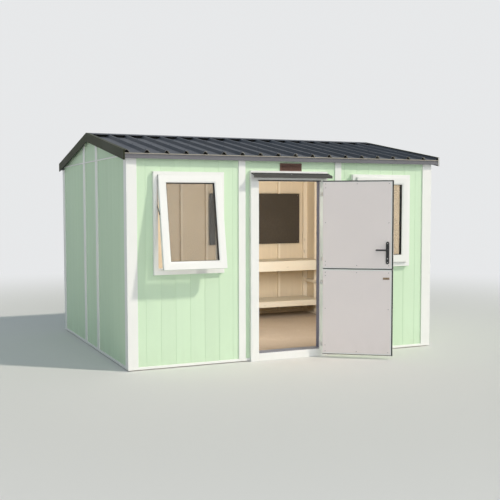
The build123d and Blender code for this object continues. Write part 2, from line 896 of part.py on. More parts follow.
# Vent
def wall_vent():
    centre = (vent_centre_x, vent_bottom + vent_height / 2)
    outer = Pos(*centre) * Rectangle(vent_width, vent_height)
    hole = Pos(*centre) * Rectangle(vent_width - 2 * vent_border, vent_height - 2 * vent_border)
    piece = front_extrusion(outer - hole, -clad_y, vent_thickness)
    piece += front_extrusion(hole, -clad_y, vent_blade_thickness)
    pitch = (vent_height - 2 * vent_border) / (vent_blades + 1)
    x_low = vent_centre_x - vent_width / 2 + vent_border
    front = -clad_y - vent_thickness + vent_blade_setback
    for index in range(vent_blades):
        z = vent_bottom + vent_border + (index + 1) * pitch
        blade = [
            (-clad_y, z),
            (front, z - pitch / 2),
            (front, z - pitch / 2 + vent_blade_thickness),
            (-clad_y, z + vent_blade_thickness),
        ]
        piece += side_extrusion(blade, x_low, x_low + vent_width - 2 * vent_border)
    return piece


# Bench and tool board
def bench_front():
    return stud_y - bench_depth


def bench_top():
    y = (bench_front() + apron_thickness, stud_y)
    return block((bench_left, stud_x), y, (bench_top_level - bench_board, bench_top_level))


def bench_apron():
    y = (bench_front(), bench_front() + apron_thickness)
    return block((bench_left, stud_x), y, (bench_top_level - apron_height, bench_top_level))


def bench_supports():
    # two legs at the left end, and ledgers on the end wall's studs at the right end
    y_front = bench_front() + apron_thickness
    z = (deck_top, bench_top_level - bench_board)
    x = (bench_left, bench_left + bench_leg_thickness)
    pieces = [block(x, (y_front, y_front + bench_leg), z), block(x, (stud_y - bench_leg, stud_y), z)]
    x = (stud_x - bench_leg_thickness, stud_x)
    y = (y_front, stud_y - fit_gap)
    for level, board in ((bench_top_level, bench_board), (shelf_level, shelf_board)):
        pieces.append(block(x, y, (level - board - bench_leg, level - board)))
    return group(pieces)


def bench_shelf():
    leg_side = bench_left + bench_leg_thickness
    y = (bench_front() + apron_thickness, stud_y)
    board = block((leg_side, stud_x), y, (shelf_level - shelf_board, shelf_level))
    rail = block((bench_left, stud_x), (bench_front(), bench_front() + apron_thickness),
                 (shelf_level - shelf_rail_height, shelf_level))
    return board + rail


def tool_board():
    y = (stud_y - tool_board_thickness, stud_y)
    return block((tool_board_left, tool_board_right), y, (tool_board_bottom, tool_board_top))


def main():
    os.makedirs("parts", exist_ok=True)
    upper = (leaf_split + split_gap / 2, leaf_top)
    lower = (leaf_bottom, leaf_split - split_gap / 2)

    write("floor_frame", floor_frame())
    write("floor_deck", floor_deck())
    write("front_wall_left", front_wall(left_window_x, -clad_x, -front_joint - fit_gap / 2))
    write("front_wall_right", front_wall(right_window_x, front_joint + fit_gap / 2, clad_x))
    write("front_wall_door_bay", door_bay())
    write("back_wall", back_wall())
    write("left_wall", end_wall(-1))
    write("right_wall", end_wall(1))
    write("left_gable", gable(-1))
    write("right_gable", gable(1))
    write("wall_studs", wall_studs())
    write("wall_plates", wall_plates())
    write("corner_boards", corner_boards())
    write("cover_strips", cover_strips())
    write("base_trims", base_trims())
    write("left_window_frame", window_frame(left_window_x))
    write("left_window_sash", hung(window_sash(), left_window_x, window_opening_angle))
    write("left_window_pane", hung(window_pane(), left_window_x, window_opening_angle))
    write("left_window_stays", window_stays(left_window_x, window_opening_angle))
    write("right_window_frame", window_frame(right_window_x))
    write("right_window_sash", hung(window_sash(), right_window_x, 0))
    write("right_window_pane", hung(window_pane(), right_window_x, 0))
    write("door_jambs", door_jambs())
    write("door_head_rail", door_head_rail())
    write("door_threshold", door_threshold())
    write("door_hood", door_hood())
    write("frame_hinges", frame_hinges(hinge_levels(lower) + hinge_levels(upper)))
    for name, z in (("upper", upper), ("lower", lower)):
        write(name + "_leaf", opened(leaf_body(z)))
        write(name + "_leaf_gasket", opened(leaf_gasket(z)))
        write(name + "_leaf_liner", opened(leaf_liner(z)))
        write(name + "_leaf_hinges", opened(leaf_hinges(hinge_levels(z))))
    write("handle_plates", opened(handle_plates()))
    write("handle_lever", opened(lever()))
    write("door_bolt", opened(door_bolt()))
    write("front_roof_sheet", roof_sheet(-1))
    write("back_roof_sheet", roof_sheet(1))
    write("ridge_flashing", ridge_flashing())
    write("left_barge_flashing", barge_flashing(-1))
    write("right_barge_flashing", barge_flashing(1))
    write("eave_flashings", group([eave_flashing(-1), eave_flashing(1)]))
    write("purlins", purlins())
    write("ridge_beam", ridge_beam())
    write("rafters", rafters())
    write("wall_vent", wall_vent())
    write("bench_top", bench_top())
    write("bench_apron", bench_apron())
    write("bench_supports", bench_supports())
    write("bench_shelf", bench_shelf())
    write("tool_board", tool_board())


main()
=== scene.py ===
import bmesh
import bpy
import json
from math import cos, pi, radians, tan
from mathutils import Matrix, Vector


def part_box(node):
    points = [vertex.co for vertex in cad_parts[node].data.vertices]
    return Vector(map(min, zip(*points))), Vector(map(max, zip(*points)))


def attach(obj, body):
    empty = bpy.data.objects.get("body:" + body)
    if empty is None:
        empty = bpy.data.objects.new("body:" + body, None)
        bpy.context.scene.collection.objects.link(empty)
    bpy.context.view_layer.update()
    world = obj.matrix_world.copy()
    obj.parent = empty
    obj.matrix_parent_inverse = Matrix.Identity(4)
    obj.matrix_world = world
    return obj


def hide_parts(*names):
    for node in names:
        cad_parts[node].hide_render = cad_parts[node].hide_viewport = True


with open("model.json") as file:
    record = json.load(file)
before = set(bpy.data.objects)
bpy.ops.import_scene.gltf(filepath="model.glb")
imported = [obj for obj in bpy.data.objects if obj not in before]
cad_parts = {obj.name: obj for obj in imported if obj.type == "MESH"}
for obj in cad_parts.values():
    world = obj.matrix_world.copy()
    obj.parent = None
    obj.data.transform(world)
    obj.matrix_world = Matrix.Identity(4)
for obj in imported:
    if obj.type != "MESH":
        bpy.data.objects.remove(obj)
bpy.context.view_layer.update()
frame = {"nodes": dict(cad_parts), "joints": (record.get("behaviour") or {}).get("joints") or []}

nodes = frame["nodes"]
joints = {joint["name"]: joint for joint in frame["joints"]}
scene = bpy.context.scene
print("frame loaded:", len(nodes), "nodes")


# node patterns that the finishes are made of
def setInput(tree, socket, value):
    if isinstance(value, bpy.types.NodeSocket):
        tree.links.new(value, socket)
    elif socket.type == "RGBA" and len(value) == 3:
        socket.default_value = (*value, 1.0)
    else:
        socket.default_value = value


def addNode(tree, kind, inputs=None, **settings):
    made = tree.nodes.new("ShaderNode" + kind)
    for key, value in settings.items():
        setattr(made, key, value)
    for key, value in (inputs or {}).items():
        setInput(tree, made.inputs[key], value)
    return made


def stretched(tree, scale):
    # Object coordinates, scaled by axis
    place = addNode(tree, "TexCoord").outputs["Object"]
    return addNode(tree, "Mapping", {"Vector": place, "Scale": scale}).outputs["Vector"]


def placeAlong(tree, axis):
    place = addNode(tree, "TexCoord").outputs["Object"]
    return addNode(tree, "SeparateXYZ", {"Vector": place}).outputs[axis]


def between(tree, value, low, high, first=0.0, last=1.0):
    # a value carried from one range to another, cut off at its ends
    inputs = {"Value": value, "From Min": low, "From Max": high, "To Min": first, "To Max": last}
    return addNode(tree, "MapRange", inputs).outputs["Result"]


def combine(tree, operation, *values):
    return addNode(tree, "Math", dict(enumerate(values)), operation=operation).outputs[0]


def noisePattern(tree, scale, detail=3.0, rough=0.5, distortion=0.0):
    inputs = {"Vector": stretched(tree, scale), "Scale": 1.0, "Detail": detail, "Roughness": rough,
              "Distortion": distortion}
    return addNode(tree, "TexNoise", inputs).outputs["Fac"]


def spotPattern(tree, scale, radius, blur):
    # round spots, one in each cell of a Voronoi pattern
    cells = addNode(tree, "TexVoronoi", {"Vector": stretched(tree, scale), "Scale": 1.0})
    return between(tree, cells.outputs["Distance"], radius + blur, radius)


def boardPattern(tree, axis, start, pitch):
    # a random value for each board, counted along an axis
    count = combine(tree, "DIVIDE", combine(tree, "SUBTRACT", placeAlong(tree, axis), start), pitch)
    board = combine(tree, "FLOOR", count)
    return addNode(tree, "TexWhiteNoise", {"W": board}, noise_dimensions="1D").outputs["Value"]


def mixColor(tree, factor, first, second):
    made = addNode(tree, "Mix", data_type="RGBA")
    for index, value in ((0, factor), (6, first), (7, second)):
        setInput(tree, made.inputs[index], value)
    return made.outputs[2]


def addBump(tree, pattern, distance, strength=1.0, below=None):
    inputs = {"Height": pattern, "Distance": distance, "Strength": strength}
    if below is not None:
        inputs["Normal"] = below
    return addNode(tree, "Bump", inputs).outputs["Normal"]


def newMaterial(name, roughness, metallic=0.0, **sockets):
    made = bpy.data.materials.new(name)
    made.use_nodes = True
    shader = made.node_tree.nodes["Principled BSDF"]
    shader.inputs["Roughness"].default_value = roughness
    shader.inputs["Metallic"].default_value = metallic
    for key, value in sockets.items():
        setInput(made.node_tree, shader.inputs[key], value)
    return made, made.node_tree, shader


def finishMaterial(tree, shader, color, normal=None, roughness=None):
    setInput(tree, shader.inputs["Base Color"], color)
    if normal is not None:
        setInput(tree, shader.inputs["Normal"], normal)
    if roughness is not None:
        setInput(tree, shader.inputs["Roughness"], roughness)


def shade(color, factor):
    return tuple(channel * factor for channel in color)


def grimeNear(tree, tone, height, amount, dirt, scale):
    # splashes that fade out with the height above the ground
    patches = between(tree, noisePattern(tree, scale, 4.0), 0.35, 0.68)
    low = between(tree, placeAlong(tree, "Z"), height, 0.0)
    factor = combine(tree, "MULTIPLY", combine(tree, "MULTIPLY", patches, low), amount)
    return mixColor(tree, factor, tone, dirt)


# how the walls are boarded, in metres
boarding = {
    "pitch": 0.153,
    "grooveWidth": 0.006,
    "grooveDepth": 0.0035,
    "leftStart": -1.580,  # a groove of the left front panel
    "rightStart": 0.644,
    "frontJoint": 0.561,  # from the middle to a panel joint, front and back
    "endJoint": 0.2925,
    "panelGap": 0.0005,
    "color": (0.63, 0.80, 0.595),
}


def boardPaint(name, axis=None, start=0.0):
    # satin paint: each board a shade apart, faint runs, fine fibres under the coat
    color = boarding["color"]
    made, tree, shader = newMaterial(name, 0.6)
    tone = color
    if axis:
        board = boardPattern(tree, axis, start, boarding["pitch"])
        tone = mixColor(tree, board, shade(color, 0.97), shade(color, 1.02))
    runs = between(tree, noisePattern(tree, (24.0, 24.0, 0.8), 4.0), 0.36, 0.66)
    tone = mixColor(tree, combine(tree, "MULTIPLY", runs, 0.4), tone, shade(color, 0.96))
    faded = between(tree, noisePattern(tree, (1.5, 1.5, 1.0), 3.0), 0.35, 0.75, 0.0, 0.4)
    tone = mixColor(tree, faded, tone, shade(color, 1.07))
    tone = grimeNear(tree, tone, height=0.25, amount=0.16, dirt=(0.33, 0.36, 0.25), scale=(9.0, 9.0, 5.0))
    fibre = noisePattern(tree, (170.0, 170.0, 5.0), 3.0, 0.6)
    coat = noisePattern(tree, (420.0, 420.0, 420.0), 2.0)
    normal = addBump(tree, coat, 0.0003, 0.3, addBump(tree, fibre, 0.0005, 0.22))
    finishMaterial(tree, shader, tone, normal, between(tree, runs, 0.0, 1.0, 0.52, 0.66))
    return made


def softwood(name, color, grainAxis, knots=0.5, board=None):
    # planed pine: broad growth bands, fine fibres and a few knots, along one axis
    made, tree, shader = newMaterial(name, 0.6)
    along = "XYZ".index(grainAxis)

    def scaled(across, length):
        return tuple(length if index == along else across for index in range(3))

    bands = between(tree, noisePattern(tree, scaled(20.0, 0.6), 3.0, 0.55, 0.4), 0.33, 0.7)
    tone = mixColor(tree, bands, shade(color, 0.9), shade(color, 1.05))
    fibres = between(tree, noisePattern(tree, scaled(190.0, 4.0), 3.0, 0.6), 0.3, 0.75)
    tone = mixColor(tree, fibres, shade(color, 0.94), tone)
    warm = between(tree, noisePattern(tree, scaled(3.0, 0.9), 2.0), 0.35, 0.75, 0.0, 0.4)
    tone = mixColor(tree, warm, tone, (color[0] * 1.02, color[1] * 0.92, color[2] * 0.8))
    spots = spotPattern(tree, scaled(12.0, 4.0), 0.07, 0.06)
    tone = mixColor(tree, combine(tree, "MULTIPLY", spots, knots), tone, shade(color, 0.5))
    if board:
        plank = boardPattern(tree, *board)
        tone = mixColor(tree, combine(tree, "MULTIPLY", plank, 0.14), tone, shade(color, 0.6))
    finishMaterial(tree, shader, tone, addBump(tree, fibres, 0.0006, 0.5),
                   between(tree, bands, 0.0, 1.0, 0.5, 0.66))
    return made


def sheetBoard(name, color, scale, contrast=0.08, roughness=0.65):
    # plain sheet board with soft mottling
    made, tree, shader = newMaterial(name, roughness)
    mottle = between(tree, noisePattern(tree, scale, 4.0, 0.6), 0.3, 0.72)
    tone = mixColor(tree, mottle, shade(color, 1.0 - contrast), shade(color, 1.0 + contrast))
    broad = between(tree, noisePattern(tree, (2.4, 2.4, 2.4), 2.0), 0.3, 0.75)
    tone = mixColor(tree, broad, tone, shade(color, 1.0 - contrast * 0.7))
    finishMaterial(tree, shader, tone, addBump(tree, mottle, 0.0004, 0.4),
                   between(tree, broad, 0.0, 1.0, roughness - 0.05, roughness + 0.06))
    return made


def smoothCoat(name, color, roughness=0.38, change=0.03, grain=300.0, metallic=0.0, grime=0.0, shine=0.5):
    # moulded plastic or coated metal: fine orange peel, a slight change of tone, dust near the ground
    made, tree, shader = newMaterial(name, roughness, metallic, **{"Specular IOR Level": shine})
    broad = between(tree, noisePattern(tree, (1.9, 1.9, 1.3), 3.0), 0.3, 0.72)
    tone = mixColor(tree, broad, shade(color, 1.0 - change), shade(color, 1.0 + change))
    if grime:
        tone = grimeNear(tree, tone, height=0.28, amount=grime, dirt=(0.42, 0.39, 0.33),
                         scale=(11.0, 11.0, 6.0))
    peel = noisePattern(tree, (grain, grain, grain), 2.0)
    finishMaterial(tree, shader, tone, addBump(tree, peel, 0.0002, 0.3),
                   between(tree, broad, 0.0, 1.0, roughness - 0.04, roughness + 0.06))
    return made


def roofCoat(name, color):
    # matt coated steel: fine grain, runs down the slope, dust in patches
    made, tree, shader = newMaterial(name, 0.58, 0.0, **{"Specular IOR Level": 0.12})
    runs = between(tree, noisePattern(tree, (34.0, 1.1, 1.1), 4.0), 0.32, 0.72)
    tone = mixColor(tree, runs, shade(color, 0.86), shade(color, 1.12))
    dust = between(tree, noisePattern(tree, (2.3, 2.3, 2.3), 4.0), 0.42, 0.8, 0.0, 0.25)
    tone = mixColor(tree, dust, tone, shade(color, 1.7))
    coat = noisePattern(tree, (650.0, 650.0, 650.0), 2.0)
    finishMaterial(tree, shader, tone, addBump(tree, coat, 0.0003, 0.4),
                   between(tree, dust, 0.0, 0.25, 0.52, 0.66))
    return made


def clearGlass():
    # clean float glass with a faint film of dust
    made, tree, shader = newMaterial("clearGlass", 0.02, 0.0, Alpha=0.17)
    film = between(tree, noisePattern(tree, (3.0, 3.0, 3.0), 4.0), 0.35, 0.75)
    finishMaterial(tree, shader, mixColor(tree, film, (0.06, 0.075, 0.08), (0.10, 0.12, 0.125)))
    return made


# each with its name, colour, roughness, change of tone, grain and metallic
finish = {
    "boardsLeft": boardPaint("boardPaintLeft", "X", boarding["leftStart"]),
    "boardsRight": boardPaint("boardPaintRight", "X", boarding["rightStart"]),
    "boardsEnd": boardPaint("boardPaintEnd", "Y", -boarding["endJoint"]),
    "plainPaint": boardPaint("plainPaint"),
    "rawBoard": sheetBoard("rawBoard", (0.755, 0.63, 0.455), (22.0, 22.0, 2.6), 0.06),
    "white": smoothCoat("whiteTrim", (0.86, 0.86, 0.85), 0.36, 0.012, 260.0, grime=0.06),
    "liner": smoothCoat("leafLining", (0.86, 0.785, 0.78), 0.42, 0.014, 240.0, grime=0.1),
    "upright": softwood("timberUpright", (0.85, 0.75, 0.59), "Z"),
    "along": softwood("timberAlong", (0.85, 0.75, 0.59), "X"),
    "across": softwood("timberAcross", (0.85, 0.75, 0.59), "Y"),
    "bench": softwood("benchTimber", (0.77, 0.71, 0.58), "X", knots=0.35, board=("Y", 0.9155, 0.126)),
    "deck": sheetBoard("deckBoard", (0.41, 0.33, 0.25), (46.0, 12.0, 46.0), 0.1, 0.7),
    "hardboard": sheetBoard("hardboard", (0.060, 0.050, 0.039), (70.0, 70.0, 70.0), 0.2, 0.6),
    "roof": roofCoat("roofCoating", (0.066, 0.076, 0.097)),
    # the sheets' backing coat, made paler than its own tone as a painted highlight on the inner rib flanks at
    # the eave
    "backingWithHighlight": smoothCoat("backingCoatWithHighlight", (0.74, 0.71, 0.64), 0.6, 0.05, 300.0),
    "sealing": smoothCoat("sealingStrip", (0.38, 0.35, 0.30), 0.6, 0.06, 300.0),
    "flashing": smoothCoat("flashingCoating", (0.15, 0.15, 0.17), 0.45, 0.06, 600.0, 0.1),
    # painted highlight: light grey for the right verge's lit end returns, in place of the verge's dark coat
    "vergeEndHighlight": smoothCoat("vergeEndHighlightCoating", (0.50, 0.49, 0.48), 0.4, 0.05, 500.0),
    # dark verge coat; its olive cast is a painted reflection of green
    "verge": smoothCoat("vergeCoatingGreenReflection", (0.025, 0.031, 0.013), 0.6, 0.08, 600.0, shine=0.2),
    # near-black fillers: foam, drawn black as painted shade of the hollow ribs
    "foamAndShade": sheetBoard("blackFoamAndShade", (0.010, 0.010, 0.010), (240.0, 240.0, 240.0), 0.3, 0.9),
    "hood": smoothCoat("hoodCoating", (0.040, 0.040, 0.040), 0.5, 0.06, 600.0, shine=0.25),
    # painted highlight: the hood's front lip, a lighter copy of the hood's own dark coat
    "hoodLipHighlight": smoothCoat("hoodLipHighlightCoating", (0.075, 0.073, 0.070), 0.5, 0.06, 600.0, shine=0.25),
    "rubber": smoothCoat("blackRubber", (0.014, 0.014, 0.016), 0.6, 0.08, 300.0),
    "glass": clearGlass(),
    "steel": smoothCoat("zincSteel", (0.62, 0.62, 0.62), 0.34, 0.05, 400.0, 0.85),
    "hinge": smoothCoat("hingeCoating", (0.80, 0.80, 0.80), 0.4, 0.03, 400.0, 0.2),
    "stay": smoothCoat("stayCoating", (0.085, 0.085, 0.09), 0.4, 0.08, 400.0, 0.4),
    "black": smoothCoat("blackCoating", (0.016, 0.016, 0.018), 0.33, 0.1, 500.0),
    "brass": smoothCoat("agedBrass", (0.26, 0.19, 0.12), 0.42, 0.12, 400.0, 0.6),
    "footSeal": smoothCoat("brownRubber", (0.125, 0.085, 0.065), 0.6, 0.08, 300.0),
    "brown": smoothCoat("brownPlastic", (0.165, 0.088, 0.070), 0.5, 0.08, 300.0, shine=0.3),
    # grey lining of the door reveal; its dark blue cast is painted shade
    "lining": smoothCoat("revealLiningAndShade", (0.17, 0.19, 0.29), 0.4, 0.04, 400.0),
    "sill": smoothCoat("sillPlate", (0.30, 0.33, 0.42), 0.34, 0.05, 400.0, 0.35),
    "screw": smoothCoat("screwHead", (0.30, 0.29, 0.30), 0.4, 0.05, 400.0, 0.5),
}
print("materials made:", len(finish))


# shapes
def addPiece(name, shape, finishes, body="building", stands=None):
    bmesh.ops.recalc_face_normals(shape, faces=shape.faces)
    mesh = bpy.data.meshes.new(name)
    shape.to_mesh(mesh)
    shape.free()
    for finishName in finishes:
        mesh.materials.append(finish[finishName])
    mesh.shade_smooth()
    mesh.set_sharp_from_angle(angle=radians(50))
    piece = bpy.data.objects.new(name, mesh)
    scene.collection.objects.link(piece)
    evenShading = piece.modifiers.new("evenShading", "WEIGHTED_NORMAL")
    evenShading.keep_sharp = True
    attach(piece, body)
    if stands:
        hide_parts(stands)


def bevelEdges(shape, edges, width, segments):
    bmesh.ops.bevel(shape, geom=edges, offset=width, affect="EDGES", segments=segments, profile=0.5,
                    material=-1, clamp_overlap=True)


def bevelCorners(shape, width, segments=2):
    corners = [edge for edge in shape.edges if edge.calc_face_angle(0.0) > radians(28)]
    bevelEdges(shape, corners, width, segments)


def easedNode(nodeName, width, finishes, body="building", segments=2, pick=None, mend=None):
    # a node's own shape, its triangles merged back to whole faces and its edges eased
    shape = bmesh.new()
    shape.from_mesh(nodes[nodeName].data)
    bmesh.ops.remove_doubles(shape, verts=shape.verts, dist=0.00001)
    bmesh.ops.dissolve_limit(shape, angle_limit=radians(0.5), verts=shape.verts, edges=shape.edges)
    if mend:
        mend(shape)
    bevelCorners(shape, width, segments)
    for face in shape.faces:
        face.material_index = pick(face) if pick else 0
    addPiece(nodeName + "_finished", shape, finishes, body, nodeName)


def addBlock(shape, low, high, width=0.0):
    # a squared piece between two corners, its edges eased by a width
    verts = bmesh.ops.create_cube(shape, size=1.0)["verts"]
    bmesh.ops.scale(shape, vec=Vector(high) - Vector(low), verts=verts)
    bmesh.ops.translate(shape, vec=(Vector(high) + Vector(low)) / 2, verts=verts)
    if width:
        bevelEdges(shape, list({edge for vert in verts for edge in vert.link_edges}), width, 1)


def blockShape(width, *blocks):
    shape = bmesh.new()
    for low, high in blocks:
        addBlock(shape, low, high, width)
    return shape


def extrude(shape, faces, shift, keep=True):
    # draws faces out by a shift, and gives back the corners and faces at their new place
    made = bmesh.ops.extrude_face_region(shape, geom=faces, use_keep_orig=keep)["geom"]
    verts = [item for item in made if isinstance(item, bmesh.types.BMVert)]
    bmesh.ops.translate(shape, vec=shift, verts=verts)
    return verts, [item for item in made if isinstance(item, bmesh.types.BMFace)]


def addProfile(shape, points, axis, stops):
    # an outline drawn across an axis and carried along it; each stop is a place and a rise
    corners = []
    for point in points:
        place = list(point)
        place.insert(axis, stops[0][0])
        corners.append(shape.verts.new(place))
    bmesh.ops.translate(shape, vec=(0.0, 0.0, stops[0][1]), verts=corners)
    face = shape.faces.new(corners)
    for count, (start, end) in enumerate(zip(stops, stops[1:])):
        shift = [0.0, 0.0, end[1] - start[1]]
        shift[axis] += end[0] - start[0]
        face = extrude(shape, [face], shift, count == 0)[1][0]


def foldedSection(points, thickness):
    # an open line of folds, given a thickness to its left
    line = [Vector(point) for point in points]
    inner = []
    for index, point in enumerate(line):
        runs = [line[place + 1] - line[place] for place in (index - 1, index) if 0 <= place < len(line) - 1]
        sides = [Vector((-run.y, run.x)).normalized() for run in runs]
        mean = sum(sides, Vector((0.0, 0.0))) / len(sides)
        inner.append(point + mean * thickness / mean.length_squared)
    return line + inner[::-1]


def addHead(shape, place, direction, radius, height, top, segments=10):
    # a round head standing on a surface; top is the radius of its outer end
    turn = Vector((0.0, 0.0, 1.0)).rotation_difference(Vector(direction)).to_matrix().to_4x4()
    middle = Vector(place) + Vector(direction).normalized() * height / 2
    bmesh.ops.create_cone(shape, cap_ends=True, segments=segments, radius1=radius, radius2=top, depth=height,
                          matrix=Matrix.Translation(middle) @ turn)


def mitredRing(section, low, high, footScale):
    # a section carried round a rectangle in X and Z; its points are an inset and a depth
    shape = bmesh.new()
    loops = []
    for x, z, scaleX, scaleZ in ((low[0], low[1], 1.0, footScale), (high[0], low[1], -1.0, footScale),
                                 (high[0], high[1], -1.0, -1.0), (low[0], high[1], 1.0, -1.0)):
        verts = [shape.verts.new((x + scaleX * inset, depth, z + scaleZ * inset)) for inset, depth in section]
        loops.append([shape.edges.new(pair) for pair in zip(verts, verts[1:] + verts[:1])])
    for first, second in zip(loops, loops[1:] + loops[:1]):
        bmesh.ops.bridge_loops(shape, edges=first + second)
    return shape


def moveShape(shape, matrix):
    bmesh.ops.transform(shape, matrix=matrix, verts=shape.verts)
    return shape


# walls
def cutAt(shape, axis, value):
    normal = Matrix.Identity(3)[axis]
    geometry = shape.verts[:] + shape.edges[:] + shape.faces[:]
    bmesh.ops.bisect_plane(shape, geom=geometry, plane_co=normal * value, plane_no=normal, dist=0.00001)


def boardedSheet(outline, grooves, thickness, hole=None):
    # a sheet drawn in X and Z with its face at y = 0, grooved, with a hole
    shape = bmesh.new()
    shape.faces.new([shape.verts.new((x, 0.0, z)) for x, z in outline])
    for groove in grooves:
        for offset in (-boarding["grooveWidth"] / 2, 0.0, boarding["grooveWidth"] / 2):
            cutAt(shape, 0, groove + offset)
    if hole:
        (xLow, zLow), (xHigh, zHigh) = hole
        for axis, value in ((0, xLow), (0, xHigh), (2, zLow), (2, zHigh)):
            cutAt(shape, axis, value)
        middles = [(face, face.calc_center_median()) for face in shape.faces]
        inside = [face for face, middle in middles if xLow < middle.x < xHigh and zLow < middle.z < zHigh]
        bmesh.ops.delete(shape, geom=inside, context="FACES")
    moved = set(extrude(shape, shape.faces[:], (0.0, thickness, 0.0))[0])
    for vert in shape.verts:
        if vert not in moved and any(abs(vert.co.x - groove) < 0.00005 for groove in grooves):
            vert.co.y = boarding["grooveDepth"]
    for face in shape.faces:
        face.material_index = 1 if all(vert in moved for vert in face.verts) else 0
    return shape


def areaBetween(low, high):
    return [(low[0], low[1]), (high[0], low[1]), (high[0], high[1]), (low[0], high[1])]


def groovesBetween(low, high, start):
    pitch = boarding["pitch"]
    margin = boarding["grooveWidth"]
    first = int((low - start) // pitch)
    last = int((high - start) // pitch) + 1
    places = [start + count * pitch for count in range(first, last + 1)]
    return [place for place in places if low + margin < place < high - margin]


def joinShapes(shapes):
    whole = bmesh.new()
    for part in shapes:
        mesh = bpy.data.meshes.new("part")
        part.to_mesh(mesh)
        part.free()
        whole.from_mesh(mesh)
        bpy.data.meshes.remove(mesh)
    return whole


def panelRow(edges, low, high, thickness, start):
    # the boarded panels of a wall between its joints, seen from outside
    gap = boarding["panelGap"]
    return joinShapes([boardedSheet(areaBetween((first + gap, low), (last - gap, high)),
                                    groovesBetween(first, last, start), thickness)
                       for first, last in zip(edges, edges[1:])])


def addBoards(name, shape, place, paint, nodeName):
    # painted outside, raw board inside
    addPiece(name, moveShape(shape, place), [paint, "rawBoard"], stands=nodeName)


frameLap = 0.020  # window and door frames lap the cladding by this much
for side in ("left", "right"):
    low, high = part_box("front_wall_" + side)
    frameLow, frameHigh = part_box(side + "_window_frame")
    hole = ((frameLow.x + frameLap, frameLow.z + frameLap), (frameHigh.x - frameLap, frameHigh.z - frameLap))
    grooves = groovesBetween(low.x, high.x, boarding[side + "Start"])
    shape = boardedSheet(areaBetween((low.x, low.z), (high.x, high.z)), grooves, high.y - low.y, hole)
    place = Matrix.Translation((0.0, low.y, 0.0))
    addBoards("front_boards_" + side, shape, place, "boards" + side.title(), "front_wall_" + side)

low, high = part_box("front_wall_door_bay")
jambLow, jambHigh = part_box("door_jambs")
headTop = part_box("door_head_rail")[1].z
hole = ((jambLow.x + frameLap, -1.0), (jambHigh.x - frameLap, headTop - frameLap))  # open at its foot
shape = boardedSheet(areaBetween((low.x, low.z), (high.x, high.z)), [], high.y - low.y, hole)
place = Matrix.Translation((0.0, low.y, 0.0))
addBoards("door_bay_boards", shape, place, "plainPaint", "front_wall_door_bay")

low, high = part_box("back_wall")
joint = boarding["frontJoint"]
shape = panelRow((low.x, -joint, joint, high.x), low.z, high.z, high.y - low.y, -boarding["leftStart"])
place = Matrix.Translation((0.0, high.y, 0.0)) @ Matrix.Rotation(pi, 4, "Z")
addBoards("back_boards", shape, place, "boardsLeft", "back_wall")

joint = boarding["endJoint"]
for side, turn in (("left", -1), ("right", 1)):
    low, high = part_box(side + "_wall")
    face = low.x if side == "left" else high.x
    place = Matrix.Translation((face, 0.0, 0.0)) @ Matrix.Rotation(turn * pi / 2, 4, "Z")
    shape = panelRow((low.y, -joint, joint, high.y), low.z, high.z, high.x - low.x, -turn * joint)
    addBoards(side + "_end_boards", shape, place, "boardsEnd", side + "_wall")
    gable = side + "_gable"
    low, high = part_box(gable)
    eaveZ = min(vert.co.z for vert in nodes[gable].data.vertices if vert.co.z > low.z + 0.01)
    area = [(low.y, low.z), (high.y, low.z), (high.y, eaveZ), (0.0, high.z), (low.y, eaveZ)]
    shape = boardedSheet(area, groovesBetween(low.y, high.y, -turn * joint), high.x - low.x)
    addBoards(gable + "_boards", shape, place, "boardsEnd", gable)
print("walls boarded")


# trims and timbers keep the node's shape, with eased edges
def plateFinish(face):
    # the plates at the front and the back run along X, those at the ends along Y
    return 0 if abs(face.calc_center_median().y) > 1.4 else 1


# the level strips under the gables are slimmer than their solids
levelStrip = {"middle": 2.094, "reach": 0.0125, "fromX": 1.75, "slimmed": 0.54}


def slimLevelStrips(shape):
    middle = levelStrip["middle"]
    found = [vert for vert in shape.verts
             if abs(vert.co.z - middle) < levelStrip["reach"] and abs(vert.co.x) > levelStrip["fromX"]]
    bmesh.ops.scale(shape, vec=(1.0, 1.0, levelStrip["slimmed"]),
                    space=Matrix.Translation((0.0, 0.0, -middle)), verts=found)


for nodeName in ("corner_boards", "base_trims"):
    easedNode(nodeName, 0.0022, ["white"])
easedNode("cover_strips", 0.0022, ["white"], mend=slimLevelStrips)
easedNode("wall_studs", 0.0015, ["upright"])
easedNode("wall_plates", 0.0015, ["along", "across"], pick=plateFinish)
easedNode("purlins", 0.0015, ["along"])
easedNode("ridge_beam", 0.002, ["along"])
easedNode("rafters", 0.0015, ["across"])
easedNode("floor_frame", 0.0015, ["across"])
easedNode("bench_top", 0.0015, ["bench"])
easedNode("bench_apron", 0.002, ["bench"])
easedNode("bench_supports", 0.0015, ["upright"])
easedNode("bench_shelf", 0.0015, ["bench"])
easedNode("tool_board", 0.0012, ["hardboard"])
easedNode("floor_deck", 0.001, ["deck"])

# white pins through the trims, and screws along the tool board's edges
trimPins = {
    "levels": (0.12, 0.50, 0.88, 1.26, 1.64, 1.98),
    "alongX": (-1.718, -boarding["frontJoint"], boarding["frontJoint"], 1.711),
    "alongY": (-1.444, -boarding["endJoint"], boarding["endJoint"], 1.444),
    "faceX": 1.770,  # outside of the corner boards
    "faceY": 1.4925,
    "head": (0.0045, 0.0012, 0.0032),  # every head here: radius, height, radius of its top
}
shape = bmesh.new()
for z in trimPins["levels"]:
    for side in (-1, 1):
        for x in trimPins["alongX"]:
            addHead(shape, (x, side * trimPins["faceY"], z), (0.0, side, 0.0), *trimPins["head"])
        for y in trimPins["alongY"]:
            addHead(shape, (side * trimPins["faceX"], y, z), (side, 0.0, 0.0), *trimPins["head"])
addPiece("trim_pins", shape, ["white"])
boardScrews = {"inset": 0.03, "head": (0.005, 0.0015, 0.0035)}
low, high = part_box("tool_board")
inset = boardScrews["inset"]
shape = bmesh.new()
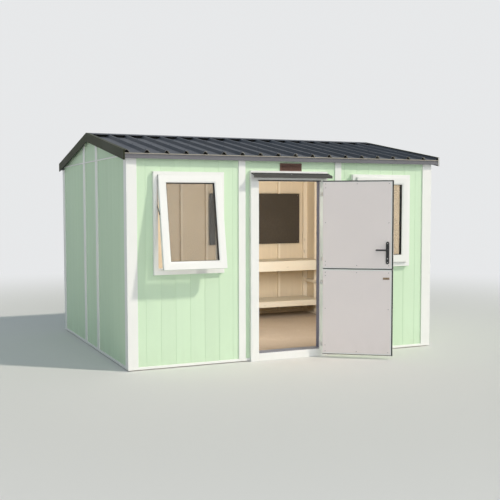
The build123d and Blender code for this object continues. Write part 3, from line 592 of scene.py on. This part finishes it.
for x in (low.x + inset, (low.x + high.x) / 2, high.x - inset):
    for z in (low.z + inset, high.z - inset):
        addHead(shape, (x, low.y, z), (0.0, -1.0, 0.0), *boardScrews["head"])
addPiece("tool_board_screws", shape, ["screw"])
print("trims and timbers eased")


# windows
window = {
    "sideFace": 0.042,  # of the frame, beside, over and under the sash
    "headFace": 0.036,
    "footFace": 0.048,
    "headLap": 0.0045,  # the sash laps the frame's head
    "proud": 0.026,  # the sash in front of its frame
    "member": 0.076,
    "foot": 0.080,
    "depth": 0.050,
    "ease": 0.003,
    "backEase": 0.002,
    "bead": 0.016,  # sloping inner border of the sash's face
    "beadStep": (0.002, 0.0015),
    "beadDrop": 0.006,
    "sealWidth": 0.004,
    "sealBite": 0.0005,  # hidden under the sash
    "sealEnds": (0.004, 0.001),  # behind the bead, and short of the sash's back
    "sealSlope": 0.002,
    "glassPlaces": (0.021, 0.041),  # from the sash's face
    "glassThickness": 0.003,
    "openAngle": 10.0,
}
member, ease, drop, depth = [window[key] for key in ("member", "ease", "beadDrop", "depth")]
beadStart, backEase = member - window["bead"], window["backEase"]
sashSection = [
    (0.0, ease), (ease * 0.3, ease * 0.3), (ease, 0.0), (beadStart, 0.0),
    (beadStart + window["beadStep"][0], window["beadStep"][1]), (member - ease, drop), (member, drop + ease),
    (member, depth - backEase), (member - backEase, depth), (ease, depth), (0.0, depth - ease),
]
sealFront, sealBack = drop + window["sealEnds"][0], depth - window["sealEnds"][1]
sealOut, sealIn = member - window["sealBite"], member + window["sealWidth"]
sealSection = [(sealOut, sealFront), (sealIn, sealFront + window["sealSlope"]), (sealIn, sealBack),
               (sealOut, sealBack)]
footScale = window["foot"] / member
for side, angle in (("left", window["openAngle"]), ("right", 0.0)):
    easedNode(side + "_window_frame", 0.0028, ["white"], segments=3)
    frameLow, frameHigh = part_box(side + "_window_frame")
    low = (frameLow.x + window["sideFace"], frameLow.z + window["footFace"])
    high = (frameHigh.x - window["sideFace"], frameHigh.z - window["headFace"] + window["headLap"])
    face = frameLow.y - window["proud"]
    top = Vector((0.0, face, high[1]))
    place = Matrix.Translation(top) @ Matrix.Rotation(radians(-angle), 4, "X") @ Matrix.Translation(-top)
    place = place @ Matrix.Translation((0.0, face, 0.0))
    shape = moveShape(mitredRing(sashSection, low, high, footScale), place)
    addPiece(side + "_sash_profile", shape, ["white"], stands=side + "_window_sash")
    # black seal round the glass, which also hides its edges
    shape = moveShape(mitredRing(sealSection, low, high, footScale), place)
    addPiece(side + "_glass_seal", shape, ["rubber"])
    inset = sealIn - window["sealBite"]
    panes = [((low[0] + inset, front, low[1] + inset * footScale),
              (high[0] - inset, front + window["glassThickness"], high[1] - inset))
             for front in window["glassPlaces"]]
    shape = moveShape(blockShape(0.0, *panes), place)
    addPiece(side + "_glazing", shape, ["glass"], stands=side + "_window_pane")
easedNode("left_window_stays", 0.0006, ["stay"])
print("windows made")


# door frame
doorFrame = {
    "back": -1.4455,
    "lining": 0.0012,
    "liningInset": 0.012,  # behind the frame's face
    "liningShort": 0.002,  # in front of the frame's back
    "sealHeight": 0.010,
    "sealDepth": 0.0025,
}


def slimDepth(shape):
    # jambs and head end short of the studs' inner side, as the narrow reveal shows
    for vert in shape.verts:
        vert.co.y = min(vert.co.y, doorFrame["back"])


for nodeName in ("door_jambs", "door_head_rail"):
    easedNode(nodeName, 0.0025, ["white"], segments=3, mend=slimDepth)
easedNode("door_threshold", 0.0025, ["white"], segments=3)
easedNode("frame_hinges", 0.0006, ["hinge"], segments=1)

# metal plate on the threshold, with three low ribs
sill = {
    "front": 0.079,  # heights of the threshold's front and back edge
    "back": 0.0895,
    "plate": 0.0015,
    "margin": 0.004,
    "endGap": 0.001,
    "ribs": (-1.480, -1.462, -1.444),
    "ribFoot": 0.003,  # half widths
    "ribCrest": 0.0015,
    "ribHeight": 0.0015,
}
sillLow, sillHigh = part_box("door_threshold")
frameFront, revealBack = sillLow.y, sillHigh.y
doorLeft, doorRight = sillLow.x, sillHigh.x
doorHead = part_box("door_head_rail")[0].z
foot, lining = sill["back"], doorFrame["lining"]
# lining of the reveal, drawn dark blue-grey: a grey lining with painted shade on it
front, back = frameFront + doorFrame["liningInset"], doorFrame["back"] - doorFrame["liningShort"]
shape = blockShape(0.0004, ((doorRight - lining, front, foot), (doorRight, back, doorHead)),
                   ((doorLeft, front, foot), (doorLeft + lining, back, doorHead)),
                   ((doorLeft, front, doorHead - lining), (doorRight, back, doorHead)))
addPiece("reveal_lining_and_shade", shape, ["lining"])
rise = (sill["back"] - sill["front"]) / (revealBack - frameFront)
top = [(frameFront + sill["margin"], 0.0), (revealBack - sill["margin"], 0.0)]
for middle in sill["ribs"]:
    top[-1:-1] = [(middle - sill["ribFoot"], 0.0), (middle - sill["ribCrest"], sill["ribHeight"]),
                  (middle + sill["ribCrest"], sill["ribHeight"]), (middle + sill["ribFoot"], 0.0)]
line = [(y, sill["front"] + (y - frameFront) * rise + sill["plate"] + lift) for y, lift in top]
section = line + [(y, z - sill["plate"]) for y, z in (line[-1], line[0])]
shape = bmesh.new()
addProfile(shape, section, 0, ((doorLeft + sill["endGap"], 0.0), (doorRight - sill["endGap"], 0.0)))
addPiece("sill_plate", shape, ["sill"])
height = doorFrame["sealHeight"]
shape = blockShape(0.001, ((doorLeft - height, frameFront - doorFrame["sealDepth"], doorHead),
                           (doorRight + height, frameFront, doorHead + height)))
addPiece("frame_seal", shape, ["rubber"])

# hood: a folded sheet and three screws; its front lip is drawn a shade lighter than the rest of the sheet, a
# painted highlight
hood = {
    "lip": 0.004,
    "screwInset": 0.02,
    "screwOut": 0.020,  # in front of the frame
    "screwZ": 1.9268,
    "screwLean": (0.0, -0.23, 0.97),
    "screwHead": (0.006, 0.002, 0.004),
}
hoodLow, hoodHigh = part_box("door_hood")


def hoodFinish(face):
    return 1 if face.normal.y < -0.9 and face.calc_center_median().y < hoodLow.y + hood["lip"] else 0


easedNode("door_hood", 0.0008, ["hood", "hoodLipHighlight"], segments=1, pick=hoodFinish)
shape = bmesh.new()
for x in (hoodLow.x + hood["screwInset"], (hoodLow.x + hoodHigh.x) / 2, hoodHigh.x - hood["screwInset"]):
    place = (x, frameFront - hood["screwOut"], hood["screwZ"])
    addHead(shape, place, hood["screwLean"], *hood["screwHead"])
addPiece("hood_screws", shape, ["steel"])
print("door frame made")


# door leaves, drawn shut and then swung open with the hinge
hinge = joints["upper_door_hinge"]
hingePlace = Vector((hinge["pos_m"][0], hinge["pos_m"][1], 0.0))
swing = (Matrix.Translation(hingePlace) @ Matrix.Rotation(radians(-hinge["range_deg"][0]), 4, "Z")
         @ Matrix.Translation(-hingePlace))
leaf = {
    "border": 0.060,  # white border of the outer face
    "recess": 0.005,
    "recessSlope": 0.004,
    "panelGap": 0.005,  # from the border to the boarded panel
    "panel": 0.0045,
    "grooveStart": -0.338,
    "linerSides": (0.026, 0.004),  # from the free edge and from the hinge side
    "linerEnds": (0.017, 0.0105),  # from a leaf's end, and where the two leaves meet
    "liner": 0.003,
    "gasket": (0.0135, 0.011, 0.0035),  # at the free edge, at the head and where the leaves meet
    "gasketDepth": 0.003,
    "screwAcross": (0.029, 0.356, 0.684),  # from the hinge line
    "rowColumns": ((0, 1, 2), (0,), (0, 2), (0,), (0, 1, 2)),  # which of them each row has
    "upperRows": (0.980, 1.020, 1.425, 1.788, 1.829),
    "lowerRows": (0.072, 0.134, 0.524, 0.870, 0.905),
    "screwHead": (0.0042, 0.0012, 0.003),
}


def shutBox(nodeName):
    # the box of a door node in its shut place
    back = swing.inverted()
    places = [back @ vert.co for vert in nodes[nodeName].data.vertices]
    return [Vector([pick(place[index] for place in places) for index in range(3)]) for pick in (min, max)]


def addSwung(name, shape, finishes, body, stands=None):
    addPiece(name, moveShape(shape, swing), finishes, body, stands)


for level in ("upper", "lower"):
    body = level + "_door"
    low, high = shutBox(level + "_leaf")
    shape = blockShape(0.0, (low, high))
    outer = [face for face in shape.faces if face.normal.y < -0.9]
    for thickness, sink in ((leaf["border"], 0.0), (leaf["recessSlope"], -leaf["recess"])):
        bmesh.ops.inset_region(shape, faces=outer, thickness=thickness, depth=sink, use_even_offset=True)
    bevelCorners(shape, 0.0016)
    addSwung(level + "_leaf_finished", shape, ["white"], body, level + "_leaf")
    # boarded panel in the recess of the outer face
    edge = leaf["border"] + leaf["panelGap"]
    area = areaBetween((low.x + edge, low.z + edge), (high.x - edge, high.z - edge))
    shape = boardedSheet(area, groovesBetween(area[0][0], area[2][0], leaf["grooveStart"]), leaf["panel"])
    place = swing @ Matrix.Translation((0.0, low.y + leaf["recess"] - leaf["panel"], 0.0))
    moveShape(shape, place)
    addPiece(level + "_leaf_panel", shape, ["plainPaint", "plainPaint"], body)
    # lining sheet of the inner face
    ends = leaf["linerEnds"][::-1] if level == "upper" else leaf["linerEnds"]
    inner = high.y
    linerFace = inner + leaf["liner"]
    shape = blockShape(0.0006, ((low.x + leaf["linerSides"][0], inner, low.z + ends[0]),
                                (high.x - leaf["linerSides"][1], linerFace, high.z - ends[1])))
    addSwung(level + "_leaf_lining", shape, ["liner"], body, level + "_leaf_liner")
    # black gasket: both leaves' free edge, and the head and foot of the upper one
    side, head, foot = leaf["gasket"] if level == "upper" else (leaf["gasket"][0], 0.0, 0.0)
    face = inner + leaf["gasketDepth"]
    strips = [((low.x, inner, low.z + foot), (low.x + side, face, high.z - head))]
    if level == "upper":
        strips += [((low.x, inner, high.z - head), (high.x, face, high.z)),
                   ((low.x, inner, low.z), (high.x, face, low.z + foot))]
    shape = blockShape(0.0008, *strips)
    addSwung(level + "_leaf_seal", shape, ["rubber"], body, level + "_leaf_gasket")
    easedNode(level + "_leaf_hinges", 0.0006, ["hinge"], body, 1)
    # screw heads round the lining, with a second one at the hinge side's corners
    shape = bmesh.new()
    for z, columns in zip(leaf[level + "Rows"], leaf["rowColumns"]):
        for column in columns:
            place = (hingePlace.x - leaf["screwAcross"][column], linerFace, z)
            addHead(shape, place, (0.0, 1.0, 0.0), *leaf["screwHead"])
    addSwung(level + "_liner_screws", shape, ["screw"], body)

# brown seal along the foot of the lower leaf
footSeal = {"margin": 0.001, "low": 0.0005, "high": 0.006, "depth": 0.0035}
low, high = shutBox("lower_leaf")
shape = blockShape(0.0006, ((low.x + leaf["gasket"][0] + footSeal["margin"], high.y, low.z + footSeal["low"]),
                            (high.x - footSeal["margin"], high.y + footSeal["depth"],
                             low.z + footSeal["high"])))
addSwung("leaf_foot_seal", shape, ["footSeal"], "lower_door")

# fin of rubber that closes the gap between the leaves
fin = {"margin": 0.004, "front": 0.012, "back": 0.022, "reach": 0.0062, "root": 0.0005}
low, high = shutBox("upper_leaf")
shape = blockShape(0.0005, ((low.x + fin["margin"], low.y + fin["front"], low.z - fin["reach"]),
                            (high.x - fin["margin"], low.y + fin["back"], low.z + fin["root"])))
addSwung("leaf_fin", shape, ["rubber"], "upper_door")

# latch plate and latch in the free edge
latch = {  # out of the edge, into it, half width, lowest and highest level, ease
    "plate": (0.0015, 0.0005, 0.010, 1.02, 1.24, 0.0005),
    "tongue": (0.004, 0.0, 0.006, 1.13, 1.16, 0.001),
}
middle = (low.y + high.y) / 2
shape = bmesh.new()
for out, root, half, bottom, top, width in latch.values():
    addBlock(shape, (low.x - out, middle - half, bottom), (low.x + root, middle + half, top), width)
addSwung("latch_plate", shape, ["steel"], "upper_door")

# door furniture
fittings = {
    "plateFace": 0.009,  # off the leaf
    "screwInset": 0.018,  # from the ends of a plate
    "screwHead": (0.0045, 0.0012, 0.0035),
    "lockZ": 1.054,
    "lockFace": 0.006,  # off the plate, as the slot's two depths are
    "lockHead": (0.0058, 0.0012, 0.0054, 14),
    "slotDepths": (0.0068, 0.0075),
    "slotHalf": 0.0008,
    "slotLevels": (1.0505, 1.0575),
}
easedNode("handle_plates", 0.0015, ["black"], "upper_door")
easedNode("handle_lever", 0.001, ["black"], "lever")
easedNode("door_bolt", 0.0006, ["brass"], "lower_door", 1)
plateOuter, plateInner = low.y - fittings["plateFace"], linerFace + fittings["plateFace"]
low, high = shutBox("handle_plates")
plateX = (low.x + high.x) / 2
bottom, top = fittings["slotLevels"]
screws = bmesh.new()
slots = bmesh.new()
for face, outward in ((plateOuter, -1.0), (plateInner, 1.0)):
    for z in (low.z + fittings["screwInset"], high.z - fittings["screwInset"]):
        addHead(screws, (plateX, face, z), (0.0, outward, 0.0), *fittings["screwHead"])
    place = (plateX, face + outward * fittings["lockFace"], fittings["lockZ"])
    addHead(screws, place, (0.0, outward, 0.0), *fittings["lockHead"])
    near, far = sorted(face + outward * depth for depth in fittings["slotDepths"])
    addBlock(slots, (plateX - fittings["slotHalf"], near, bottom), (plateX + fittings["slotHalf"], far, top))
addSwung("plate_screws", screws, ["steel"], "upper_door")
addSwung("key_slots", slots, ["black"], "upper_door")
print("door leaves made")


# roof
roof = {
    "slope": 10.2,
    "eaveY": 1.5355,
    "panZ": 2.108,  # underside of the sheet at the eave
    "ridgeGap": 0.030,
    "ridgeReach": 0.135,  # of the ridge flashing, down each slope
    "ribPitch": 0.200,
    "firstRib": -1.772,
    "lastRib": 18,
    "ribBase": 0.062,
    "ribCrest": 0.022,
    "ribHeight": 0.028,
    "fold": 0.0018,
    "sheet": 0.0012,
    "sheetTop": 0.002,
    "endGap": 0.0008,
    "lapRibs": (4, 9, 14),  # where one metre-wide length laps the next
    "lapReach": (0.040, 0.038),  # to each side of such a rib
    "lapGap": 0.0001,
    "lapSheet": 0.0007,
    "lapInset": 0.001,
    "left": -1.8035,
    "right": 1.8425,
}
slope = radians(roof["slope"])
eaveY, panZ, ribHeight, sheetTop = [roof[key] for key in ("eaveY", "panZ", "ribHeight", "sheetTop")]
sheetLength = (eaveY - roof["ridgeGap"]) / cos(slope)
crestLift = (ribHeight + sheetTop) / cos(slope)
ridgeRise = eaveY * tan(slope)
slopes = ((-1, "front"), (1, "back"))


def slopePlace(side):
    # across, up the slope and off the sheet -> the front slope (-1) or the back one (1)
    front = Matrix.Translation((0.0, -eaveY, panZ)) @ Matrix.Rotation(slope, 4, "X")
    return front if side < 0 else Matrix.Scale(-1.0, 4, (0.0, 1.0, 0.0)) @ front


def ribMiddle(count):
    return roof["firstRib"] + count * roof["ribPitch"]


def ribFolds(low, high):
    # the fold lines of the sheet across its width, each eased
    fold, base, crest = roof["fold"], roof["ribBase"] / 2, roof["ribCrest"] / 2
    points = [Vector((low, 0.0))]
    for count in range(roof["lastRib"] + 1):
        for offset, rise in ((-base, 0.0), (-crest, ribHeight), (crest, ribHeight), (base, 0.0)):
            x = ribMiddle(count) + offset
            if low + fold < x < high - fold:
                points.append(Vector((x, rise)))
    points.append(Vector((high, points[-1].y)))
    eased = [points[0]]
    for before, point, after in zip(points, points[1:], points[2:]):
        eased += [point + (other - point).normalized() * fold for other in (before, after)]
    return eased + [points[-1]]


def foldedSheet(points, bottom, thickness, start, length):
    # the folds made solid, drawn flat with the eave at y = 0
    shape = bmesh.new()
    rows = [[shape.verts.new((x, start, height + lift)) for x, height in points]
            for lift in (bottom, bottom + thickness)]
    for under, over in zip(zip(rows[0], rows[0][1:]), zip(rows[1], rows[1][1:])):
        shape.faces.new((under[0], under[1], over[1], over[0]))
    extrude(shape, shape.faces[:], (0.0, length, 0.0))
    for vert in rows[0] + rows[1]:
        vert.co.y += vert.co.z * tan(slope)  # the eave end is cut upright
    bmesh.ops.recalc_face_normals(shape, faces=shape.faces)
    for face in shape.faces:
        face.material_index = 2 if abs(face.normal.y) > 0.7 else 1 if face.normal.z < -0.1 else 0
    return shape


# the sheets: coated above, backed below with a pale coat whose paleness is partly painted highlight on the
# rib flanks, and sealed at the cut ends
folds = ribFolds(roof["left"], roof["right"])
start, lapStart = roof["endGap"], roof["lapInset"]
for side, name in slopes:
    shapes = [foldedSheet(folds, sheetTop - roof["sheet"], roof["sheet"], start, sheetLength - start)]
    for count in roof["lapRibs"]:
        lap = ribFolds(ribMiddle(count) - roof["lapReach"][0], ribMiddle(count) + roof["lapReach"][1])
        shapes.append(foldedSheet(lap, sheetTop + roof["lapGap"], roof["lapSheet"], lapStart,
                                  sheetLength - 2 * lapStart))
    shape = moveShape(joinShapes(shapes), slopePlace(side))
    addPiece(name + "_roof_sheet_folded", shape, ["roof", "backingWithHighlight", "sealing"],
             stands=name + "_roof_sheet")

# near-black fillers under the ribs at the eave, and between them at the ridge: foam fillers whose black is
# also painted shade of the hollow rib ends and open troughs
filler = {
    "eaveSetback": 0.032,
    "ridgeSetback": 0.028,
    "length": 0.025,
    "play": 0.0012,
    "sidePlay": 0.003,
    "foot": 0.0005,
    "crown": 0.0018,  # of the ridge fillers, over the ribs
}
play, sidePlay, foot, crown = [filler[key] for key in ("play", "sidePlay", "foot", "crown")]
halfBase, halfCrest = roof["ribBase"] / 2 - play, roof["ribCrest"] / 2 - play
slant = halfBase - halfCrest
ridgeStart = sheetLength - (roof["ridgeReach"] - roof["ridgeGap"]) / cos(slope) + filler["ridgeSetback"]
eaveStops, ridgeStops = [((start, 0.0), (start + filler["length"], 0.0))
                         for start in (filler["eaveSetback"], ridgeStart)]
end = roof["right"] - play
for side, name in slopes:
    shape = bmesh.new()
    for count in range(roof["lastRib"] + 1):
        middle = ribMiddle(count)
        outline = [(middle - halfBase, foot), (min(middle + halfBase, end), foot),
                   (min(middle + halfCrest, end), ribHeight), (middle - halfCrest, ribHeight)]
        addProfile(shape, outline, 1, eaveStops)
        if count < roof["lastRib"]:
            low, high = middle + halfBase, middle + roof["ribPitch"] - halfBase
            outline = [(low + sidePlay, sheetTop), (high - sidePlay, sheetTop),
                       (high + slant - sidePlay, ribHeight + crown),
                       (low - slant + sidePlay, ribHeight + crown)]
            addProfile(shape, outline, 1, ridgeStops)
    addPiece(name + "_fillers", moveShape(shape, slopePlace(side)), ["foamAndShade"])

# eave flashings: a recessed band over a kicked-out one, and the sealing strip under the sheet's edge
eave = {
    "face": 1.5345,
    "recess": 0.0075,
    "kick": 0.022,
    "kickStep": 0.004,
    "drop": 0.050,
    "hem": 0.005,
    "lap": 0.095,
    "gap": 0.0004,  # under the roof sheet
    "thickness": 0.0012,
    "stripEnds": (0.0005, 0.0002),  # from the eave, and from the recessed band
    "stripLevels": (-0.0062, 0.0006),
}
recessed = eave["face"] - eave["recess"]
panAt = panZ + (eaveY - eave["face"] + eave["recess"]) * tan(slope)
back, kick, foot = eaveY - eave["lap"], panZ - eave["kick"], panZ - eave["drop"]
stripFaces = (eaveY - eave["stripEnds"][0], recessed + eave["stripEnds"][1])
bottom, top = [panZ + level for level in eave["stripLevels"]]
line = [
    (back, panAt + (recessed - back) * tan(slope) - eave["gap"]), (recessed, panAt - eave["gap"]),
    (recessed, kick), (eave["face"], kick - eave["kickStep"]), (eave["face"], foot),
    (eave["face"] - eave["hem"], foot),
]
for side, name in slopes:
    section = [(side * y, z) for y, z in foldedSection(line, -eave["thickness"])]
    shape = bmesh.new()
    addProfile(shape, section, 0, ((roof["left"], 0.0), (roof["right"], 0.0)))
    addPiece(name + "_eave_flashing", shape, ["flashing"],
             stands="eave_flashings" if side < 0 else None)
    near, far = sorted(side * y for y in stripFaces)
    shape = blockShape(0.0006, ((roof["left"], near, bottom), (roof["right"], far, top)))
    addPiece(name + "_eave_strip", shape, ["sealing"])

# verge flashings: an upright face, a cap over the last rib, a hem, and a return at each end
verge = {
    "faces": (-1.8055, 1.8445),
    "capLift": 0.002,
    "drop": 0.096,
    "lap": 0.034,
    "hem": 0.010,
    "thickness": 0.0016,
    "return": 0.015,
    "returnInset": (0.001, 0.0005),  # from the foot, and from the cap
    "screwPlaces": (-1.407, -0.712, 0.0, 0.712, 1.407),
    "screwUp": 0.027,
    "washer": (0.0065, 0.001, 0.006),
    "screwHead": (0.004, 0.0024, 0.0032, 8),
}
top = panZ + crestLift + verge["capLift"]
bottom = panZ + crestLift - verge["drop"]
stops = ((-eaveY, 0.0), (0.0, ridgeRise), (eaveY, 0.0))
vergeEdges = (verge["faces"][0] + verge["lap"], verge["faces"][1] - verge["lap"])
for side, outer, name in zip((-1, 1), verge["faces"], ("left_barge", "right_barge")):
    line = [(outer - side * verge["lap"], top), (outer, top), (outer, bottom),
            (outer - side * verge["hem"], bottom)]
    shape = bmesh.new()
    addProfile(shape, foldedSection(line, -side * verge["thickness"]), 1, stops)
    addPiece(name + "_folded", shape, ["verge"], stands=name + "_flashing")
    # end returns: the right verge's are drawn light grey as a painted highlight of its lit end, while the
    # left ones keep the verge's dark coat
    low, high = sorted((outer, outer - side * verge["return"]))
    returns = []
    for end in (-1, 1):
        near, far = sorted((end * eaveY, end * (eaveY - verge["thickness"])))
        returns.append(((low, near, bottom + verge["returnInset"][0]),
                        (high, far, top - verge["returnInset"][1])))
    shape = blockShape(0.0004, *returns)
    addPiece(name + "_ends", shape, ["verge" if side < 0 else "vergeEndHighlight"])
    shape = bmesh.new()
    for y in verge["screwPlaces"]:
        z = bottom + (eaveY - abs(y)) * tan(slope) + verge["screwUp"]
        for head in (verge["washer"], verge["screwHead"]):
            addHead(shape, (outer, y, z), (side, 0.0, 0.0), *head)
    addPiece(name + "_screws", shape, ["verge"])


def reachVerges(shape):
    # the ridge flashing's ends meet the verge caps
    for vert in shape.verts:
        if abs(vert.co.x) > 1.7:
            vert.co.x = vergeEdges[0] if vert.co.x < 0.0 else vergeEdges[1]


easedNode("ridge_flashing", 0.0006, ["roof"], segments=1, mend=reachVerges)

# roof screws: a washer with a hexagon head on it, on the ribs and through the ridge flashing
roofScrew = {
    "rows": (0.055, 0.52, 1.02, 1.38),  # up the slope from the eave
    "ridgeBack": 0.075,
    "ridgeLift": 0.004,
    "washer": (0.0075, 0.0015, 0.0065, 8),
    "headLift": 0.0014,
    "head": (0.0042, 0.004, 0.0038, 6),
}
off = Vector((0.0, 0.0, 1.0))
for side, name in slopes:
    shape = bmesh.new()
    for count in range(1, roof["lastRib"]):
        places = [(row, ribHeight + sheetTop) for row in roofScrew["rows"]]
        if count % 2:
            places.append((sheetLength - roofScrew["ridgeBack"], ribHeight + roofScrew["ridgeLift"]))
        for up, lift in places:
            place = Vector((ribMiddle(count), up, lift))
            addHead(shape, place, off, *roofScrew["washer"])
            addHead(shape, place + off * roofScrew["headLift"], off, *roofScrew["head"])
    addPiece(name + "_roof_screws", moveShape(shape, slopePlace(side)), ["roof"])

# vent in the wall, with a bar down its middle
easedNode("wall_vent", 0.0005, ["brown"], segments=1)
ventBar = {"half": 0.003, "inset": 0.008, "front": 0.0002, "back": 0.002}
low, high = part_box("wall_vent")
middle, inset = (low.x + high.x) / 2, ventBar["inset"]
shape = blockShape(0.0006, ((middle - ventBar["half"], low.y + ventBar["front"], low.z + inset),
                            (middle + ventBar["half"], high.y - ventBar["back"], high.z - inset)))
addPiece("vent_bar", shape, ["brown"])
print("roof made")


# camera, in metres and degrees
photoCamera = {
    "place": (-3.921, -9.1815, 1.617),
    "yaw": 24.14,  # to the right of +Y
    "pitch": 3.66,  # downwards
    "roll": -0.1,
    "focal": 824.06,  # in pixels of a 500 pixel frame
    "middle": (250.0, 257.13),
    "imageSize": 500.0,
}
data = bpy.data.cameras.new("photoCamera")
data.sensor_fit = "HORIZONTAL"
data.sensor_width = 36.0
data.lens = data.sensor_width * photoCamera["focal"] / photoCamera["imageSize"]
data.shift_x = 0.5 - photoCamera["middle"][0] / photoCamera["imageSize"]
data.shift_y = photoCamera["middle"][1] / photoCamera["imageSize"] - 0.5
data.clip_end = 200.0
camera = bpy.data.objects.new("photoCamera", data)
scene.collection.objects.link(camera)
turn = Matrix.Rotation(radians(-photoCamera["yaw"]), 4, "Z")
tilt = Matrix.Rotation(radians(90.0 - photoCamera["pitch"]), 4, "X")
roll = Matrix.Rotation(radians(photoCamera["roll"]), 4, "Z")
camera.matrix_world = Matrix.Translation(photoCamera["place"]) @ turn @ tilt @ roll
scene.camera = camera

# floor and light
studio = {
    "floorSize": 60.0,
    "floorColor": (0.70, 0.70, 0.695),
    "fadeStart": 4.0,  # from the middle of the floor to where it fades into the background
    "fadeEnd": 11.0,
    "skyColor": (0.77, 0.93, 1.0),
    "skyStrength": 0.36,
    "background": (0.80, 0.81, 0.82),
    "sunColor": (1.0, 0.92, 0.80),
    "sunStrength": 2.2,
    "sunAngle": 3.5,
    "toSun": (0.585, -0.475, 0.64),
    "fillColor": (1.0, 0.98, 0.94),
    "fillStrength": 0.92,
    "fillAngle": 60.0,
    "toFill": (-0.1, -0.95, 0.30),
    "roomStrength": 62.0,
    "roomSize": (2.2, 1.1),
    "roomColor": (0.97, 0.985, 1.0),
    "roomPlace": (0.1, -1.40, 1.45),
}


def showBackground(tree, kind, shown, under, output):
    # the plain background, mixed over what lights the scene
    over = addNode(tree, kind, {"Color": studio["background"], "Strength": 1.0})
    blend = addNode(tree, "MixShader", {0: shown, 1: under.outputs[0], 2: over.outputs[0]})
    setInput(tree, tree.nodes[output].inputs["Surface"], blend.outputs[0])


shape = bmesh.new()
bmesh.ops.create_grid(shape, x_segments=1, y_segments=1, size=studio["floorSize"])
floorMesh = bpy.data.meshes.new("studioFloor")
shape.to_mesh(floorMesh)
shape.free()
studioFloor = bpy.data.objects.new("studioFloor", floorMesh)
scene.collection.objects.link(studioFloor)
floorMaterial, floorTree, floorShader = newMaterial("studioFloor", 0.9)
setInput(floorTree, floorShader.inputs["Base Color"], studio["floorColor"])
place = addNode(floorTree, "TexCoord").outputs["Object"]
distance = addNode(floorTree, "VectorMath", {0: place}, operation="LENGTH").outputs["Value"]
fadeRange = {"Value": distance, "From Min": studio["fadeStart"], "From Max": studio["fadeEnd"]}
fade = addNode(floorTree, "MapRange", fadeRange, interpolation_type="SMOOTHSTEP")
path = addNode(floorTree, "LightPath")
shown = combine(floorTree, "MULTIPLY", fade.outputs[0], path.outputs["Is Camera Ray"])
showBackground(floorTree, "Emission", shown, floorShader, "Material Output")
floorMesh.materials.append(floorMaterial)

world = bpy.data.worlds.new("studioWorld")
scene.world = world
world.use_nodes = True
tree = world.node_tree
light = tree.nodes["Background"]
setInput(tree, light.inputs["Color"], studio["skyColor"])
light.inputs["Strength"].default_value = studio["skyStrength"]
path = addNode(tree, "LightPath")
shown = combine(tree, "MAXIMUM", path.outputs["Is Camera Ray"], path.outputs["Is Glossy Ray"])
shown = combine(tree, "MAXIMUM", shown, path.outputs["Is Transmission Ray"])
showBackground(tree, "Background", shown, light, "World Output")

for name in ("sun", "fill"):
    data = bpy.data.lights.new(name, "SUN")
    data.energy = studio[name + "Strength"]
    data.angle = radians(studio[name + "Angle"])
    data.color = studio[name + "Color"]
    lamp = bpy.data.objects.new(name, data)
    lamp.rotation_euler = Vector(studio["to" + name.title()]).to_track_quat("Z", "Y").to_euler()
    scene.collection.objects.link(lamp)

# the light that comes in through the door and the windows, as one soft lamp behind the front wall
roomData = bpy.data.lights.new("roomLight", "AREA")
roomData.shape = "RECTANGLE"
roomData.size, roomData.size_y = studio["roomSize"]
roomData.energy = studio["roomStrength"]
roomData.color = studio["roomColor"]
roomLight = bpy.data.objects.new("roomLight", roomData)
roomLight.location = studio["roomPlace"]
roomLight.rotation_euler = (radians(90.0), 0.0, 0.0)
roomLight.visible_camera = False
roomLight.visible_glossy = False
roomLight.visible_transmission = False
scene.collection.objects.link(roomLight)
scene.view_settings.view_transform = "Standard"
print("camera and light placed")
